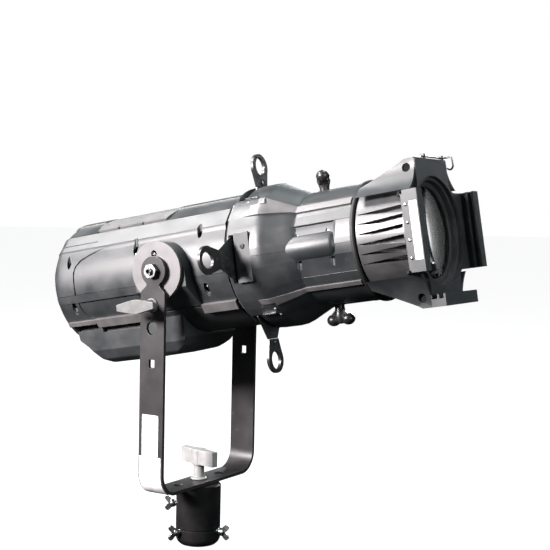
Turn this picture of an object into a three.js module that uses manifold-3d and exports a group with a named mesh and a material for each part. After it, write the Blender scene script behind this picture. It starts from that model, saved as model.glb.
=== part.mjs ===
// Ellipsoidal spotlight with an LED engine, on its yoke and stand adapter. Millimetres, +Z up.
// The origin is the centre of the stand adapter's open lower end. The beam points along +X and
// climbs by BEAM_TILT, and the near side of the light is -Y.
import * as THREE from "three";
import { mergeVertices } from "three/addons/utils/BufferGeometryUtils.js";
import Module from "manifold-3d";

// ---- driving dimensions ----
const BEAM_TILT = 9.8; // degrees above level at rest
const PIVOT_HEIGHT = 373; // tilt axis above the adapter's open end
const GAP = 0.3; // clearance between touching pieces
const BIG_SIDES = 32; // facets round the housings
const MEDIUM_SIDES = 24; // facets round lenses, discs and rings
const SMALL_SIDES = 12; // facets round bolts and holes

const SLEEVE_RADIUS = 30.15; // two inch pipe
const SLEEVE_BORE = 18.3; // takes a 35 mm stand pole
const SLEEVE_CAP = 12; // solid top that the yoke bolt threads into
const SCREW_RADIUS = 4; // wing screws
const LOWER_SCREW_HEIGHT = 20;
const UPPER_SCREW_HEIGHT = 53;
const LOWER_SCREW_ANGLES = [247.7, 7.7, 127.7]; // degrees about Z
const UPPER_SCREW_ANGLE = 202;

const STRAP_WIDTH = 38.1;
const STRAP_THICKNESS = 4.8;
const YOKE_WIDTH = 216.8; // over the arms' outer faces
const YOKE_DROP = 285; // tilt axis to the web's top face
const YOKE_BEND = 30; // outer bend radius
const YOKE_BOLT_TURN = -14.5; // degrees, how the T handle stands
const LOCK_DROP = 43.5; // tilt axis to the tilt lock's stud
const DISC_RADIUS = 38;
const DISC_FACE = 101.9; // tilt disc's outer face from the beam axis
const DISC_THICKNESS = 5;
const PIVOT_RADIUS = 5;

const BODY_RADIUS = 85.7;
const BODY_BORE = 80;
const RECESS_RADIUS = 82.8; // sides of the body, between the rails
const RAIL_RADIUS = 89.5; // lower part of the body
const BODY_REAR = -190;
const BODY_FRONT = 94;
const SPLIT_HEIGHT = -14; // where the two body shells meet
const RECESS_TOP = 47;
const RECESS_REAR = -156;
const RAIL_TOP = -52;
const POD_BOTTOM = -110.7;

const BARREL_REAR = 98;
const HUMP_RADIUS = 92.4;
const BARREL_RADIUS = 74;
const BARREL_FRONT = 267;
const BARREL_BORE = 69;
const FOCUS_TRAVEL = 45;
const KNOB_PLACE = 201; // focus knobs along the beam

const BLADE_PITCH = 2.5; // between the planes of the four shutters
const BLADE_START = 108.7; // first shutter plane along the beam
const BLADE_THICKNESS = 1.2;
const BLADE_LENGTH = 100; // inner edge to the ring's centre
const BLADE_HALF_WIDTH = 28;
const RING_RADIUS = 17.5;
const GRIP_THICKNESS = 4;
const GRIP_NECK = 26; // ring's centre to the grip's root

const TUBE_RADIUS = 68;
const CROWN_RADIUS = 71.5;
const CROWN_START = 273.3;
const PLATE_FRONT = 348.3; // front holder's face
const PLATE_THICKNESS = 5;
const HOLDER_HALF_WIDTH = 89.8;
const HOLDER_ARM = 45.2; // half width of the upper and lower arms
const HOLDER_TOP = 87.2;
const HOLDER_BOTTOM = -89;
const RAIL_HALF_LENGTH = 47;
const RAIL_DEPTH = 17.7; // rails in front of the plate
const FRAME_HALF_WIDTH = 80.3; // 6.25 inch colour frame and its clearance
const LIP_REACH = 75;
const LATCH_AXIS = [345.8, 89.6]; // along the beam and up
const WIRE_RADIUS = 1.2;
const RIB_GAPS = 6; // dark gaps on each side of the crown
const RIB_PITCH = 9.7; // degrees

// ---- finishes ----
const FINISHES = {
  casting: { color: 0x2c2c2f, roughness: 0.6, metalness: 0.35 },
  strap: { color: 0x333135, roughness: 0.5, metalness: 0.5 },
  machined: { color: 0xb9b6b6, roughness: 0.4, metalness: 0.8 },
  zinc: { color: 0xc4c8ca, roughness: 0.35, metalness: 0.9 },
  handle: { color: 0xe6e5e2, roughness: 0.4, metalness: 0.6 },
  grip: { color: 0x17171a, roughness: 0.45, metalness: 0 },
  steel: { color: 0x8d9092, roughness: 0.35, metalness: 0.9 },
  rubber: { color: 0x101012, roughness: 0.8, metalness: 0 },
  glass: { color: 0xdfe8ea, roughness: 0.05, metalness: 0 },
  screen: { color: 0x0c1418, roughness: 0.1, metalness: 0 },
  board: { color: 0x1f5a35, roughness: 0.6, metalness: 0 },
  fan: { color: 0x1b1b1d, roughness: 0.5, metalness: 0 },
};

// ---- solids ----
const wasm = await Module();
wasm.setup();

// A closed three.js geometry as a manifold-3d solid that faces outwards.
function solidFrom(geometry) {
  const bare = geometry.index ? geometry.toNonIndexed() : geometry.clone();
  bare.deleteAttribute("normal");
  bare.deleteAttribute("uv");
  const merged = mergeVertices(bare, 1e-4);
  const corners = Array.from(merged.index.array);
  const kept = [];
  for (let i = 0; i < corners.length; i += 3) {
    const [a, b, c] = corners.slice(i, i + 3);
    if (a !== b && b !== c && c !== a) kept.push(a, b, c);
  }
  const vertProperties = merged.attributes.position.array;
  const build = (order) =>
    new wasm.Manifold(new wasm.Mesh({ numProp: 3, vertProperties, triVerts: new Uint32Array(order) }));
  const solid = build(kept);
  return solid.volume() < 0 ? build(kept.reverse()) : solid;
}

const join = (first, ...others) => others.reduce((sum, other) => sum.add(other), first);
const cut = (body, ...tools) => tools.reduce((left, tool) => left.subtract(tool), body);

function box(x0, x1, y0, y1, z0, z1) {
  const geometry = new THREE.BoxGeometry(x1 - x0, y1 - y0, z1 - z0);
  return solidFrom(geometry.translate((x0 + x1) / 2, (y0 + y1) / 2, (z0 + z1) / 2));
}

// Turns a shape's own axes onto two of the part's axes; the third is the extrusion's direction.
const ALONG_X = new THREE.Matrix4().makeBasis(
  new THREE.Vector3(0, 1, 0), new THREE.Vector3(0, 0, 1), new THREE.Vector3(1, 0, 0));
const ALONG_Y = new THREE.Matrix4().makeBasis(
  new THREE.Vector3(1, 0, 0), new THREE.Vector3(0, 0, 1), new THREE.Vector3(0, -1, 0));
const ALONG_Z = new THREE.Matrix4();

function slab(shape, depth, axes, start, sides) {
  const geometry = new THREE.ExtrudeGeometry(shape, { depth, bevelEnabled: false, curveSegments: sides });
  return solidFrom(geometry.translate(0, 0, start).applyMatrix4(axes));
}
const slabX = (shape, x0, x1, sides = 8) => slab(shape, x1 - x0, ALONG_X, x0, sides);
const slabY = (shape, y0, y1, sides = 8) => slab(shape, y1 - y0, ALONG_Y, -y1, sides);
const slabZ = (shape, z0, z1, sides = 8) => slab(shape, z1 - z0, ALONG_Z, z0, sides);

const rod = (radius, length, sides) => new THREE.CylinderGeometry(radius, radius, length, sides);
const rodX = (radius, x0, x1, y = 0, z = 0, sides = SMALL_SIDES) =>
  solidFrom(rod(radius, x1 - x0, sides).rotateZ(Math.PI / 2).translate((x0 + x1) / 2, y, z));
const rodY = (radius, y0, y1, x = 0, z = 0, sides = SMALL_SIDES) =>
  solidFrom(rod(radius, y1 - y0, sides).translate(x, (y0 + y1) / 2, z));
const rodZ = (radius, z0, z1, x = 0, y = 0, sides = SMALL_SIDES) =>
  solidFrom(rod(radius, z1 - z0, sides).rotateX(Math.PI / 2).translate(x, y, (z0 + z1) / 2));

// A profile of [place along the axis, radius] pairs, turned about that axis.
function turned(profile, sides) {
  const points = profile.map(([along, radius]) => new THREE.Vector2(radius, along));
  return new THREE.LatheGeometry(points, sides);
}
const turnedX = (profile, sides = BIG_SIDES) => solidFrom(turned(profile, sides).rotateZ(-Math.PI / 2));
const turnedZ = (profile, sides = BIG_SIDES) => solidFrom(turned(profile, sides).rotateX(Math.PI / 2));
const ringX = (inner, outer, x0, x1, sides = BIG_SIDES) =>
  turnedX([[x0, inner], [x0, outer], [x1, outer], [x1, inner], [x0, inner]], sides);

const outline = (...points) => new THREE.Shape(points.map(([u, v]) => new THREE.Vector2(u, v)));
const above = (height) => box(-400, 500, -300, 300, height, 300);
const below = (height) => box(-400, 500, -300, 300, -300, height);
const radians = THREE.MathUtils.degToRad;

// ---- scene graph ----
const spotlight = new THREE.Group();
const atPivot = new THREE.Group();
atPivot.position.z = PIVOT_HEIGHT;
const head = new THREE.Group();
head.rotation.y = -radians(BEAM_TILT);
atPivot.add(head);
spotlight.add(atPivot);

function add(group, name, solid, finish) {
  const { vertProperties, triVerts } = solid.getMesh();
  const geometry = new THREE.BufferGeometry();
  geometry.setAttribute("position", new THREE.BufferAttribute(vertProperties, 3));
  geometry.setIndex(new THREE.BufferAttribute(triVerts, 1));
  geometry.computeVertexNormals();
  const mesh = new THREE.Mesh(geometry, new THREE.MeshStandardMaterial(FINISHES[finish]));
  mesh.name = name;
  group.add(mesh);
  return mesh;
}

// The same solid on the near side, and turned half way round the vertical axis on the far side.
function addPair(name, solid, finish) {
  add(head, name + "_near", solid, finish);
  add(head, name + "_far", solid.rotate([0, 0, 180]), finish);
}

// ---- stand adapter ----
const sleeveTop = PIVOT_HEIGHT - YOKE_DROP - STRAP_THICKNESS - GAP;

function standSleeve() {
  const corner = 10;
  const rim = [0, 30, 60, 90].map((turn) => [
    corner - corner * Math.cos(radians(turn)),
    SLEEVE_RADIUS - corner + corner * Math.sin(radians(turn)),
  ]);
  const body = turnedZ([
    [0, SLEEVE_BORE], ...rim, [22, SLEEVE_RADIUS], [22.6, SLEEVE_RADIUS - 0.6], [23.4, SLEEVE_RADIUS - 0.6],
    [24, SLEEVE_RADIUS], [sleeveTop - 1.5, SLEEVE_RADIUS], [sleeveTop, SLEEVE_RADIUS - 1.5], [sleeveTop, 6.4],
    [sleeveTop - SLEEVE_CAP, 6.4], [sleeveTop - SLEEVE_CAP, SLEEVE_BORE], [0, SLEEVE_BORE],
  ], MEDIUM_SIDES);
  const holes = LOWER_SCREW_ANGLES.map((angle) => [angle, LOWER_SCREW_HEIGHT]);
  holes.push([UPPER_SCREW_ANGLE, UPPER_SCREW_HEIGHT]);
  const drills = holes.map(([angle, height]) =>
    rodX(SCREW_RADIUS + GAP, 10, 40).rotate([0, 0, angle]).translate([0, 0, height]));
  return cut(body, ...drills);
}

// Along its own +X: the shank starts just inside the sleeve's bore and the wings stand outside.
function wingScrew() {
  const wing = (turn) => slabY(outline([-2, -3], [11, -3.6], [13, -2], [13, 2], [11, 3.6], [-2, 3]), -1.6, 1.6)
    .rotate([0, turn, 0]).translate([37, 0, 0]);
  return join(rodX(SCREW_RADIUS, 18.6, 36), rodX(5.5, 32.5, 38.5), wing(48), wing(-48));
}

add(spotlight, "stand_sleeve", standSleeve(), "strap");
[...LOWER_SCREW_ANGLES, UPPER_SCREW_ANGLE].forEach((angle, index) => {
  const screw = add(spotlight, "wing_screw_" + (index + 1), wingScrew(), "zinc");
  screw.rotation.z = radians(angle);
  screw.position.z = index < LOWER_SCREW_ANGLES.length ? LOWER_SCREW_HEIGHT : UPPER_SCREW_HEIGHT;
});

// ---- yoke ----
const armOuter = YOKE_WIDTH / 2;
const armInner = armOuter - STRAP_THICKNESS;
const webTop = -YOKE_DROP;
const webBottom = webTop - STRAP_THICKNESS;

function yokeStrap() {
  const bend = YOKE_BEND;
  const inner = bend - STRAP_THICKNESS;
  const u = new THREE.Shape();
  u.moveTo(-armOuter, 30);
  u.lineTo(-armOuter, webBottom + bend);
  u.absarc(-armOuter + bend, webBottom + bend, bend, Math.PI, 1.5 * Math.PI, false);
  u.absarc(armOuter - bend, webBottom + bend, bend, 1.5 * Math.PI, 2 * Math.PI, false);
  u.lineTo(armOuter, 30);
  u.lineTo(armInner, 30);
  u.absarc(armOuter - bend, webBottom + bend, inner, 2 * Math.PI, 1.5 * Math.PI, true);
  u.absarc(-armOuter + bend, webBottom + bend, inner, 1.5 * Math.PI, Math.PI, true);
  u.lineTo(-armInner, 30);
  const half = STRAP_WIDTH / 2;
  const side = new THREE.Shape();
  side.moveTo(-half, webBottom - 1);
  side.lineTo(half, webBottom - 1);
  side.lineTo(half, -27.5);
  side.lineTo(9.5, -18.5);
  side.absarc(0, 0, half, radians(-56), radians(236), false);
  side.lineTo(-9.5, -18.5);
  side.lineTo(-half, -27.5);
  const strap = slabX(u, -half, half, 6).intersect(slabY(side, -armOuter - 1, armOuter + 1, 12));
  const acrossBoth = [-armOuter - 5, armOuter + 5];
  return cut(strap,
    rodY(PIVOT_RADIUS + 0.4, ...acrossBoth),
    rodY(4.4, -armOuter - 5, 0, 0, -LOCK_DROP),
    rodY(8.75, ...acrossBoth, 0, -73, 16),
    box(-4.3, 4.3, ...acrossBoth, -123.2, -112.8),
    rodZ(6.6, webBottom - 5, webTop + 5),
    rodZ(7, webBottom - 5, webTop + 5, 0, -45.8, 16),
    rodZ(7, webBottom - 5, webTop + 5, 0, 45.8, 16));
}

// T handle that clamps the yoke's web on the adapter, drawn with its bar along X.
function yokeBolt() {
  const barBottom = webTop + 21;
  const barTop = webTop + 41;
  const bar = slabZ(outline([-32.5, -4.5], [-9, -6.5], [9, -6.5], [32.5, -4.5],
    [32.5, 4.5], [9, 6.5], [-9, 6.5], [-32.5, 4.5]), barBottom, barTop);
  return join(rodZ(6, webBottom - 11, webTop + 2), rodZ(7.5, webTop + GAP, barBottom + 1, 0, 0, 16),
    rodZ(11, webTop + GAP, webTop + 3, 0, 0, 16), rodZ(9.5, barBottom - 0.5, barTop + 0.6, 0, 0, 16), bar);
}

// Flat T handle on the tilt lock's stud, standing a little off level.
function tiltLockHandle() {
  const face = -145;
  const back = face + 6.5;
  const bar = slabY(outline([-29, -4], [-3, -9], [3, -9], [29, -4],
    [29, 4], [3, 9], [-3, 9], [-29, 4]), face, back).rotate([0, -6.7, 0]).translate([0, 0, -LOCK_DROP]);
  return join(rodY(4, -120, -98, 0, -LOCK_DROP), rodY(7.5, back - 1, -armOuter - GAP, 0, -LOCK_DROP, 16),
    rodY(9.5, -armOuter - 2.5, -armOuter - GAP, 0, -LOCK_DROP, 16), bar);
}

function tiltClampJaw() {
  const block = box(-11, 11, -armInner + GAP, -DISC_FACE + DISC_THICKNESS - 0.2, -55, -33);
  return cut(block,
    rodY(DISC_RADIUS + 0.4, -110, -90, 0, 0, MEDIUM_SIDES * 2),
    rodY(4.4, -110, -90, 0, -LOCK_DROP));
}

add(atPivot, "yoke_strap", yokeStrap(), "strap");
add(atPivot, "yoke_bolt", yokeBolt(), "handle").rotation.z = radians(YOKE_BOLT_TURN);
add(atPivot, "tilt_lock_handle", tiltLockHandle(), "handle");
add(atPivot, "tilt_clamp_jaw", tiltClampJaw(), "strap");

// ---- body shells ----
function bodyTube(bore, outer) {
  return turnedX([[BODY_REAR, bore], [BODY_REAR, outer - 3], [BODY_REAR + 3, outer], [BODY_FRONT, outer],
    [BODY_FRONT, bore], [BODY_REAR, bore]]);
}

function sideRecess() {
  const ring = ringX(RECESS_RADIUS, 110, RECESS_REAR, BODY_FRONT + 2);
  return ring.intersect(box(-300, 300, -120, 120, RAIL_TOP, RECESS_TOP));
}

const ventRear = -131;
const ventFront = -8;
const ventHalfWidth = 49;
const pivotHole = rodY(PIVOT_RADIUS + 0.4, -200, 200);

function upperShell() {
  const shell = bodyTube(BODY_BORE, BODY_RADIUS).intersect(above(SPLIT_HEIGHT));
  return cut(shell, sideRecess(), pivotHole,
    box(ventRear, ventFront, -ventHalfWidth, ventHalfWidth, 40, 120));
}

function lowerShell() {
  const sides = bodyTube(BODY_BORE, BODY_RADIUS).intersect(below(SPLIT_HEIGHT - GAP));
  const sump = bodyTube(BODY_BORE, RAIL_RADIUS).intersect(below(RAIL_TOP));
  return cut(join(sides, sump), sideRecess(), pivotHole);
}

function topGrille() {
  const edge = GAP;
  const plate = ringX(BODY_RADIUS - 3.5, BODY_RADIUS - 0.5, ventRear + edge, ventFront - edge)
    .intersect(box(-300, 300, -ventHalfWidth + edge, ventHalfWidth - edge, 0, 120));
  const slots = [];
  const pitch = 13;
  for (let x = ventRear + 10; x < ventFront - 5; x += pitch) {
    slots.push(box(x, x + 5, -ventHalfWidth + 9, ventHalfWidth - 9, 0, 120));
  }
  return cut(plate, ...slots);
}

// The driver pod hangs under the body; its roof is the lower shell.
function podCover() {
  const shape = (wall) => {
    const top = -60;
    const section = new THREE.Shape();
    section.moveTo(-61 + wall, top);
    section.lineTo(-58 + wall, -92);
    section.quadraticCurveTo(-56 + wall, POD_BOTTOM + wall, -38, POD_BOTTOM + wall);
    section.lineTo(38, POD_BOTTOM + wall);
    section.quadraticCurveTo(56 - wall, POD_BOTTOM + wall, 58 - wall, -92);
    section.lineTo(61 - wall, top);
    const side = new THREE.Shape();
    side.moveTo(-192 + wall, top);
    side.lineTo(-192 + wall, -80);
    side.lineTo(-176 + wall, -102 + wall);
    side.quadraticCurveTo(-170 + wall, POD_BOTTOM + wall, -150, POD_BOTTOM + wall);
    side.lineTo(-36, POD_BOTTOM + wall);
    side.quadraticCurveTo(8 - wall, -108 + wall, 17 - wall, -90);
    side.lineTo(17 - wall, top);
    return slabX(section, -200, 30, 4).intersect(slabY(side, -70, 70, 4));
  };
  const roof = turnedX([[-300, 0], [-300, RAIL_RADIUS + GAP], [100, RAIL_RADIUS + GAP], [100, 0]]);
  return cut(shape(0), shape(2.5), roof);
}

addPair("tilt_boss", (() => {
  const arch = new THREE.Shape();
  arch.moveTo(-40, RAIL_TOP + GAP);
  arch.lineTo(40, RAIL_TOP + GAP);
  arch.absarc(0, -3, 40, 0, Math.PI, false);
  const block = slabY(arch, -DISC_FACE + DISC_THICKNESS + GAP, -50, 10);
  const core = turnedX([[-60, 0], [-60, RECESS_RADIUS + GAP], [60, RECESS_RADIUS + GAP], [60, 0]]);
  return cut(block, core, pivotHole);
})(), "casting");

addPair("tilt_disc", cut(
  rodY(DISC_RADIUS, -DISC_FACE, -DISC_FACE + DISC_THICKNESS, 0, 0, MEDIUM_SIDES * 2),
  pivotHole,
  rodY(3.4, -DISC_FACE - 1, -DISC_FACE + 3, 0, 22)), "machined");

addPair("pivot_bolt", cut(
  join(rodY(PIVOT_RADIUS, -119.5, -76), rodY(9, -79, -75.5, 0, 0, 16)),
  rodY(2.3, -125, -112, 0, 0, 8)), "machined");

addPair("pivot_nut", cut(rodY(9.8, -armOuter - 8.3, -armOuter - GAP, 0, 0, 6),
  rodY(PIVOT_RADIUS + GAP, -130, -100)), "zinc");

add(head, "upper_shell", upperShell(), "casting");
add(head, "lower_shell", lowerShell(), "casting");
add(head, "top_grille", topGrille(), "casting");
add(head, "pod_cover", podCover(), "casting");

// ---- rear cover and its controls ----
const coverFace = -186.5; // its outer face
const coverInside = -183;
const BUTTON_HEIGHT = 8;
const BUTTON_PLACES = [-24, -8, 8, 24];
const SOCKET_PLACES = {
  data_inlet: [-20, -17], data_outlet: [20, -17], power_inlet: [-20, -51], power_outlet: [20, -51],
};
const SOCKET_HALF_WIDTH = 13;
const SOCKET_HALF_HEIGHT = 15.5;

function rearCover() {
  const disc = turnedX([[coverFace, 0], [coverFace, 74], [coverFace + 1.5, BODY_BORE - GAP],
    [coverInside, BODY_BORE - GAP], [coverInside, 0]]);
  const sockets = Object.values(SOCKET_PLACES).map(([y, z]) => rodX(12, -200, -170, y, z, 16));
  const buttons = BUTTON_PLACES.map((y) => rodX(3.9, -200, -170, y, BUTTON_HEIGHT));
  return cut(disc, ...sockets, ...buttons, box(-200, -170, -25, 25, 20, 44));
}

function panelSocket(y, z) {
  const flange = box(coverFace - 2.3, coverFace - GAP, y - SOCKET_HALF_WIDTH, y + SOCKET_HALF_WIDTH,
    z - SOCKET_HALF_HEIGHT, z + SOCKET_HALF_HEIGHT);
  return cut(join(flange, rodX(11.6, coverFace - 1, -162, y, z, 16)), rodX(9, -200, -168, y, z, 16));
}

add(head, "rear_cover", rearCover(), "casting");
add(head, "display_window", box(coverFace - 0.5, coverInside, -24.7, 24.7, 20.3, 43.7), "screen");
BUTTON_PLACES.forEach((y, index) => {
  add(head, "menu_button_" + (index + 1), rodX(3.5, coverFace - 2.5, -180, y, BUTTON_HEIGHT), "rubber");
});
for (const [name, [y, z]] of Object.entries(SOCKET_PLACES)) add(head, name, panelSocket(y, z), "grip");
add(head, "control_board", box(-178, -176.4, -44, 44, 4, 60), "board");

// ---- light engine inside the body ----
const FAN_REAR = -150;
const FAN_FRONT = -125;

function fanFrame() {
  const frame = cut(box(FAN_REAR, FAN_FRONT, -46, 46, -46, 46), rodX(43.5, -160, -120, 0, 0, MEDIUM_SIDES));
  const strut = (turn) => box(FAN_FRONT - 3, FAN_FRONT, 0, 45, -2.5, 2.5).rotate([turn, 0, 0]);
  return join(frame, rodX(18, FAN_FRONT - 3, FAN_FRONT, 0, 0, MEDIUM_SIDES), strut(45), strut(135), strut(225),
    strut(315));
}

function fanRotor() {
  const hub = rodX(19, FAN_REAR + 1, FAN_FRONT - 3.5, 0, 0, MEDIUM_SIDES);
  const blades = [];
  const count = 7;
  for (let i = 0; i < count; i++) {
    const blade = box(-9, 9, 17, 41.5, -0.9, 0.9).rotate([0, 35, 0]);
    blades.push(blade.translate([-138.5, 0, 0]).rotate([(i * 360) / count, 0, 0]));
  }
  return join(hub, ...blades);
}

function heatSink() {
  const base = rodX(66, -32, -20, 0, 0, MEDIUM_SIDES);
  const fins = [];
  const pitch = 11;
  for (let y = -5 * pitch; y <= 5 * pitch; y += pitch) {
    const height = Math.sqrt(66 ** 2 - y ** 2) - 2;
    fins.push(box(-112, -31, y - 1.2, y + 1.2, -height, height));
  }
  return join(base, ...fins);
}

add(head, "fan_frame", fanFrame(), "fan");
add(head, "fan_rotor", fanRotor(), "fan");
add(head, "heat_sink", heatSink(), "machined");
add(head, "led_board", rodX(30, -19.7, -17.5, 0, 0, MEDIUM_SIDES), "board");
add(head, "condenser_lens", turnedX([
  [-12, 0], [-12, 30], [-6, 36], [4, 36], [16, 25], [22, 0]], MEDIUM_SIDES), "glass");
add(head, "power_supply", box(-150, -45, -33, 33, -106, -91), "steel");

// Turntable ring fixed in the body, on which the shutter barrel turns.
add(head, "turntable_ring", turnedX([[84, 62], [84, BODY_BORE - GAP], [93, BODY_BORE - GAP], [93, 74], [103, 74],
  [103, 62], [84, 62]]), "machined");

// ---- shutter barrel ----
function barrelForm() {
  const wall = 4.5;
  return turnedX([
    [BARREL_REAR, BODY_BORE], [BARREL_REAR, BODY_RADIUS], [104, HUMP_RADIUS - 0.4], [112, HUMP_RADIUS],
    [150, HUMP_RADIUS], [165, 87], [187, BARREL_RADIUS], [BARREL_FRONT, BARREL_RADIUS], [BARREL_FRONT, BARREL_BORE],
    [185, BARREL_BORE], [163, 87 - wall], [150, HUMP_RADIUS - wall], [124, HUMP_RADIUS - wall],
    [124, BODY_BORE], [BARREL_REAR, BODY_BORE],
  ]);
}

const slotRear = BLADE_START - 2.5;
const slotFront = BLADE_START + 3 * BLADE_PITCH + 2.5;
const focusSlot = box(KNOB_PLACE - 6, KNOB_PLACE + FOCUS_TRAVEL + 6, -6, 6, -100, 100);

function barrelHalf(side) {
  const form = barrelForm().intersect(side > 0 ? above(GAP / 2) : below(-GAP / 2));
  const endSlot = box(slotRear, slotFront, -56, 56, side > 0 ? 50 : -120, side > 0 ? 120 : -50);
  const sideSlot = box(slotRear, slotFront, -120, 120, -30, 30);
  return cut(form, endSlot, sideSlot, focusSlot);
}

add(head, "barrel_upper", barrelHalf(1), "casting");
add(head, "barrel_lower", barrelHalf(-1), "casting");
add(head, "gate_plate_rear", ringX(38, BODY_BORE - GAP, 104, 105.5), "steel");
add(head, "gate_plate_front", ringX(38, BODY_BORE - GAP, 119.4, 121), "steel");
add(head, "barrel_end_ring", ringX(BARREL_BORE + 0.2, 72.8, BARREL_FRONT + GAP, CROWN_START - 1 - GAP), "rubber");

// ---- shutters ----
// Each is drawn with its outward direction along +Z and its ring's centre at reach; turn swings that
// direction about the beam, from straight up towards the near side.
const SHUTTERS = [
  { name: "top", turn: 0, reach: 118, shift: 0 },
  { name: "near", turn: 90, reach: 146, shift: 0 },
  { name: "bottom", turn: 180, reach: 130, shift: 27 },
  { name: "far", turn: 270, reach: 130, shift: 0 },
];

function shutterBlade(reach) {
  const neck = reach - GRIP_NECK - GAP;
  const shoulder = reach - 56;
  const inner = reach - BLADE_LENGTH;
  const half = BLADE_HALF_WIDTH;
  const plan = outline([-half, inner], [half, inner], [half, shoulder],
    [11.5, neck], [-11.5, neck], [-half, shoulder]);
  return slabX(plan, -BLADE_THICKNESS / 2, BLADE_THICKNESS / 2);
}

function shutterGrip(reach) {
  const grip = new THREE.Shape();
  grip.moveTo(-11.5, reach - GRIP_NECK);
  grip.lineTo(11.5, reach - GRIP_NECK);
  grip.absarc(0, reach, RING_RADIUS, radians(-25), radians(205), false);
  const finger = new THREE.Path();
  finger.absellipse(0, reach + 1, 10, 11.5, 0, 2 * Math.PI, true, 0);
  grip.holes.push(finger);
  return slabX(grip, -GRIP_THICKNESS / 2, GRIP_THICKNESS / 2, 9);
}

SHUTTERS.forEach(({ name, turn, reach, shift }, index) => {
  const place = BLADE_START + index * BLADE_PITCH;
  const settle = (solid) => solid.translate([place, shift, 0]).rotate([turn, 0, 0]);
  add(head, "shutter_blade_" + name, settle(shutterBlade(reach)), "steel");
  add(head, "shutter_grip_" + name, settle(shutterGrip(reach)), "grip");
});

// ---- lens tube and front holder ----
const tubeRear = 152;
const lensBore = 62;

function lensTube() {
  const form = turnedX([
    [tubeRear, lensBore], [tubeRear, TUBE_RADIUS], [CROWN_START - 1, TUBE_RADIUS], [CROWN_START, CROWN_RADIUS],
    [PLATE_FRONT - PLATE_THICKNESS - GAP, CROWN_RADIUS], [PLATE_FRONT - PLATE_THICKNESS - GAP, lensBore],
    [324, lensBore], [324, 56], [320, 56], [320, lensBore], [198, lensBore], [198, 57], [194, 57],
    [194, lensBore], [tubeRear, lensBore],
  ]);
  const gaps = [];
  for (let i = 0; i < RIB_GAPS; i++) {
    const lean = (i - (RIB_GAPS - 1) / 2) * RIB_PITCH;
    const plan = outline([CROWN_START + 2, -0.2], [336, -3.4], [336, 3.4], [CROWN_START + 2, 0.2]);
    const wedge = slabZ(plan, 66.5, 90);
    gaps.push(wedge.rotate([90 + lean, 0, 0]), wedge.rotate([270 + lean, 0, 0]));
  }
  return cut(form, ...gaps, rodZ(3.5, -80, 80, KNOB_PLACE, 0));
}

// Plus-shaped plate with rails on both sides and below for colour frames, which drop in from above.
function frameHolder() {
  const back = PLATE_FRONT - PLATE_THICKNESS;
  const front = PLATE_FRONT + RAIL_DEPTH;
  const fillet = 14;
  const wide = HOLDER_HALF_WIDTH;
  const arm = HOLDER_ARM;
  const tall = RAIL_HALF_LENGTH;
  const plus = new THREE.Shape();
  plus.moveTo(-arm, HOLDER_BOTTOM);
  plus.lineTo(arm, HOLDER_BOTTOM);
  plus.lineTo(arm, -tall - fillet);
  plus.quadraticCurveTo(arm, -tall, arm + fillet, -tall);
  plus.lineTo(wide, -tall);
  plus.lineTo(wide, tall);
  plus.lineTo(arm + fillet, tall);
  plus.quadraticCurveTo(arm, tall, arm, tall + fillet);
  plus.lineTo(arm, HOLDER_TOP);
  plus.lineTo(-arm, HOLDER_TOP);
  plus.lineTo(-arm, tall + fillet);
  plus.quadraticCurveTo(-arm, tall, -arm - fillet, tall);
  plus.lineTo(-wide, tall);
  plus.lineTo(-wide, -tall);
  plus.lineTo(-arm - fillet, -tall);
  plus.quadraticCurveTo(-arm, -tall, -arm, -tall - fillet);
  const plate = slabX(plus, back, PLATE_FRONT, 3);
  const profile = outline([back, wide], [front, wide], [front, LIP_REACH], [front - 2.5, LIP_REACH],
    [front - 2.5, FRAME_HALF_WIDTH], [front - 8.2, FRAME_HALF_WIDTH], [front - 8.2, LIP_REACH],
    [front - 10.5, LIP_REACH], [front - 10.5, FRAME_HALF_WIDTH], [PLATE_FRONT, FRAME_HALF_WIDTH],
    [PLATE_FRONT, LIP_REACH], [back, LIP_REACH]);
  const rail = slabZ(profile, -tall, tall);
  const lowered = rail.rotate([-90, 0, 0]).translate([0, 0, wide + HOLDER_BOTTOM]);
  const gusset = (up) => {
    const tip = up > 0 ? HOLDER_TOP : HOLDER_BOTTOM;
    const side = outline([286, up * 50], [290, up * 62], [334, tip],
      [PLATE_FRONT - 1, tip], [PLATE_FRONT - 1, up * 50]);
    const web = join(slabY(side, -arm, -arm + 4), slabY(side, arm - 4, arm));
    return cut(web, rodY(5, -80, 80, 337, up * 76.5));
  };
  const shelf = (up) => {
    const plan = outline([316, 40], [back + 1, wide - 1], [back + 1, 40]);
    const top = slabZ(plan, Math.min(up * tall, up * (tall - 3)), Math.max(up * tall, up * (tall - 3)));
    return join(top, top.mirror([0, 1, 0]));
  };
  const lug = (y) => cut(box(back, PLATE_FRONT, y, y + 5, HOLDER_TOP - 1, 92.2),
    rodY(WIRE_RADIUS + 0.4, y - 1, y + 6, ...LATCH_AXIS, 8));
  const bore = turnedX([[270, 0], [270, CROWN_RADIUS + GAP], [back + 0.01, CROWN_RADIUS + GAP], [back + 0.01, 66],
    [400, 66], [400, 0]]);
  return cut(join(plate, rail, rail.mirror([0, 1, 0]), lowered, gusset(1), gusset(-1), shelf(1), shelf(-1),
    lug(-18), lug(34)), bore);
}

// A plano-convex lens with its flat side to the rear.
function planoConvex(rear, radius, edge, bulge) {
  const steps = 5;
  const profile = [[rear, 0], [rear, radius]];
  for (let i = 0; i <= steps; i++) {
    const share = 1 - i / steps;
    profile.push([rear + edge + bulge * (1 - share * share), radius * share]);
  }
  return turnedX(profile, MEDIUM_SIDES);
}

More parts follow.
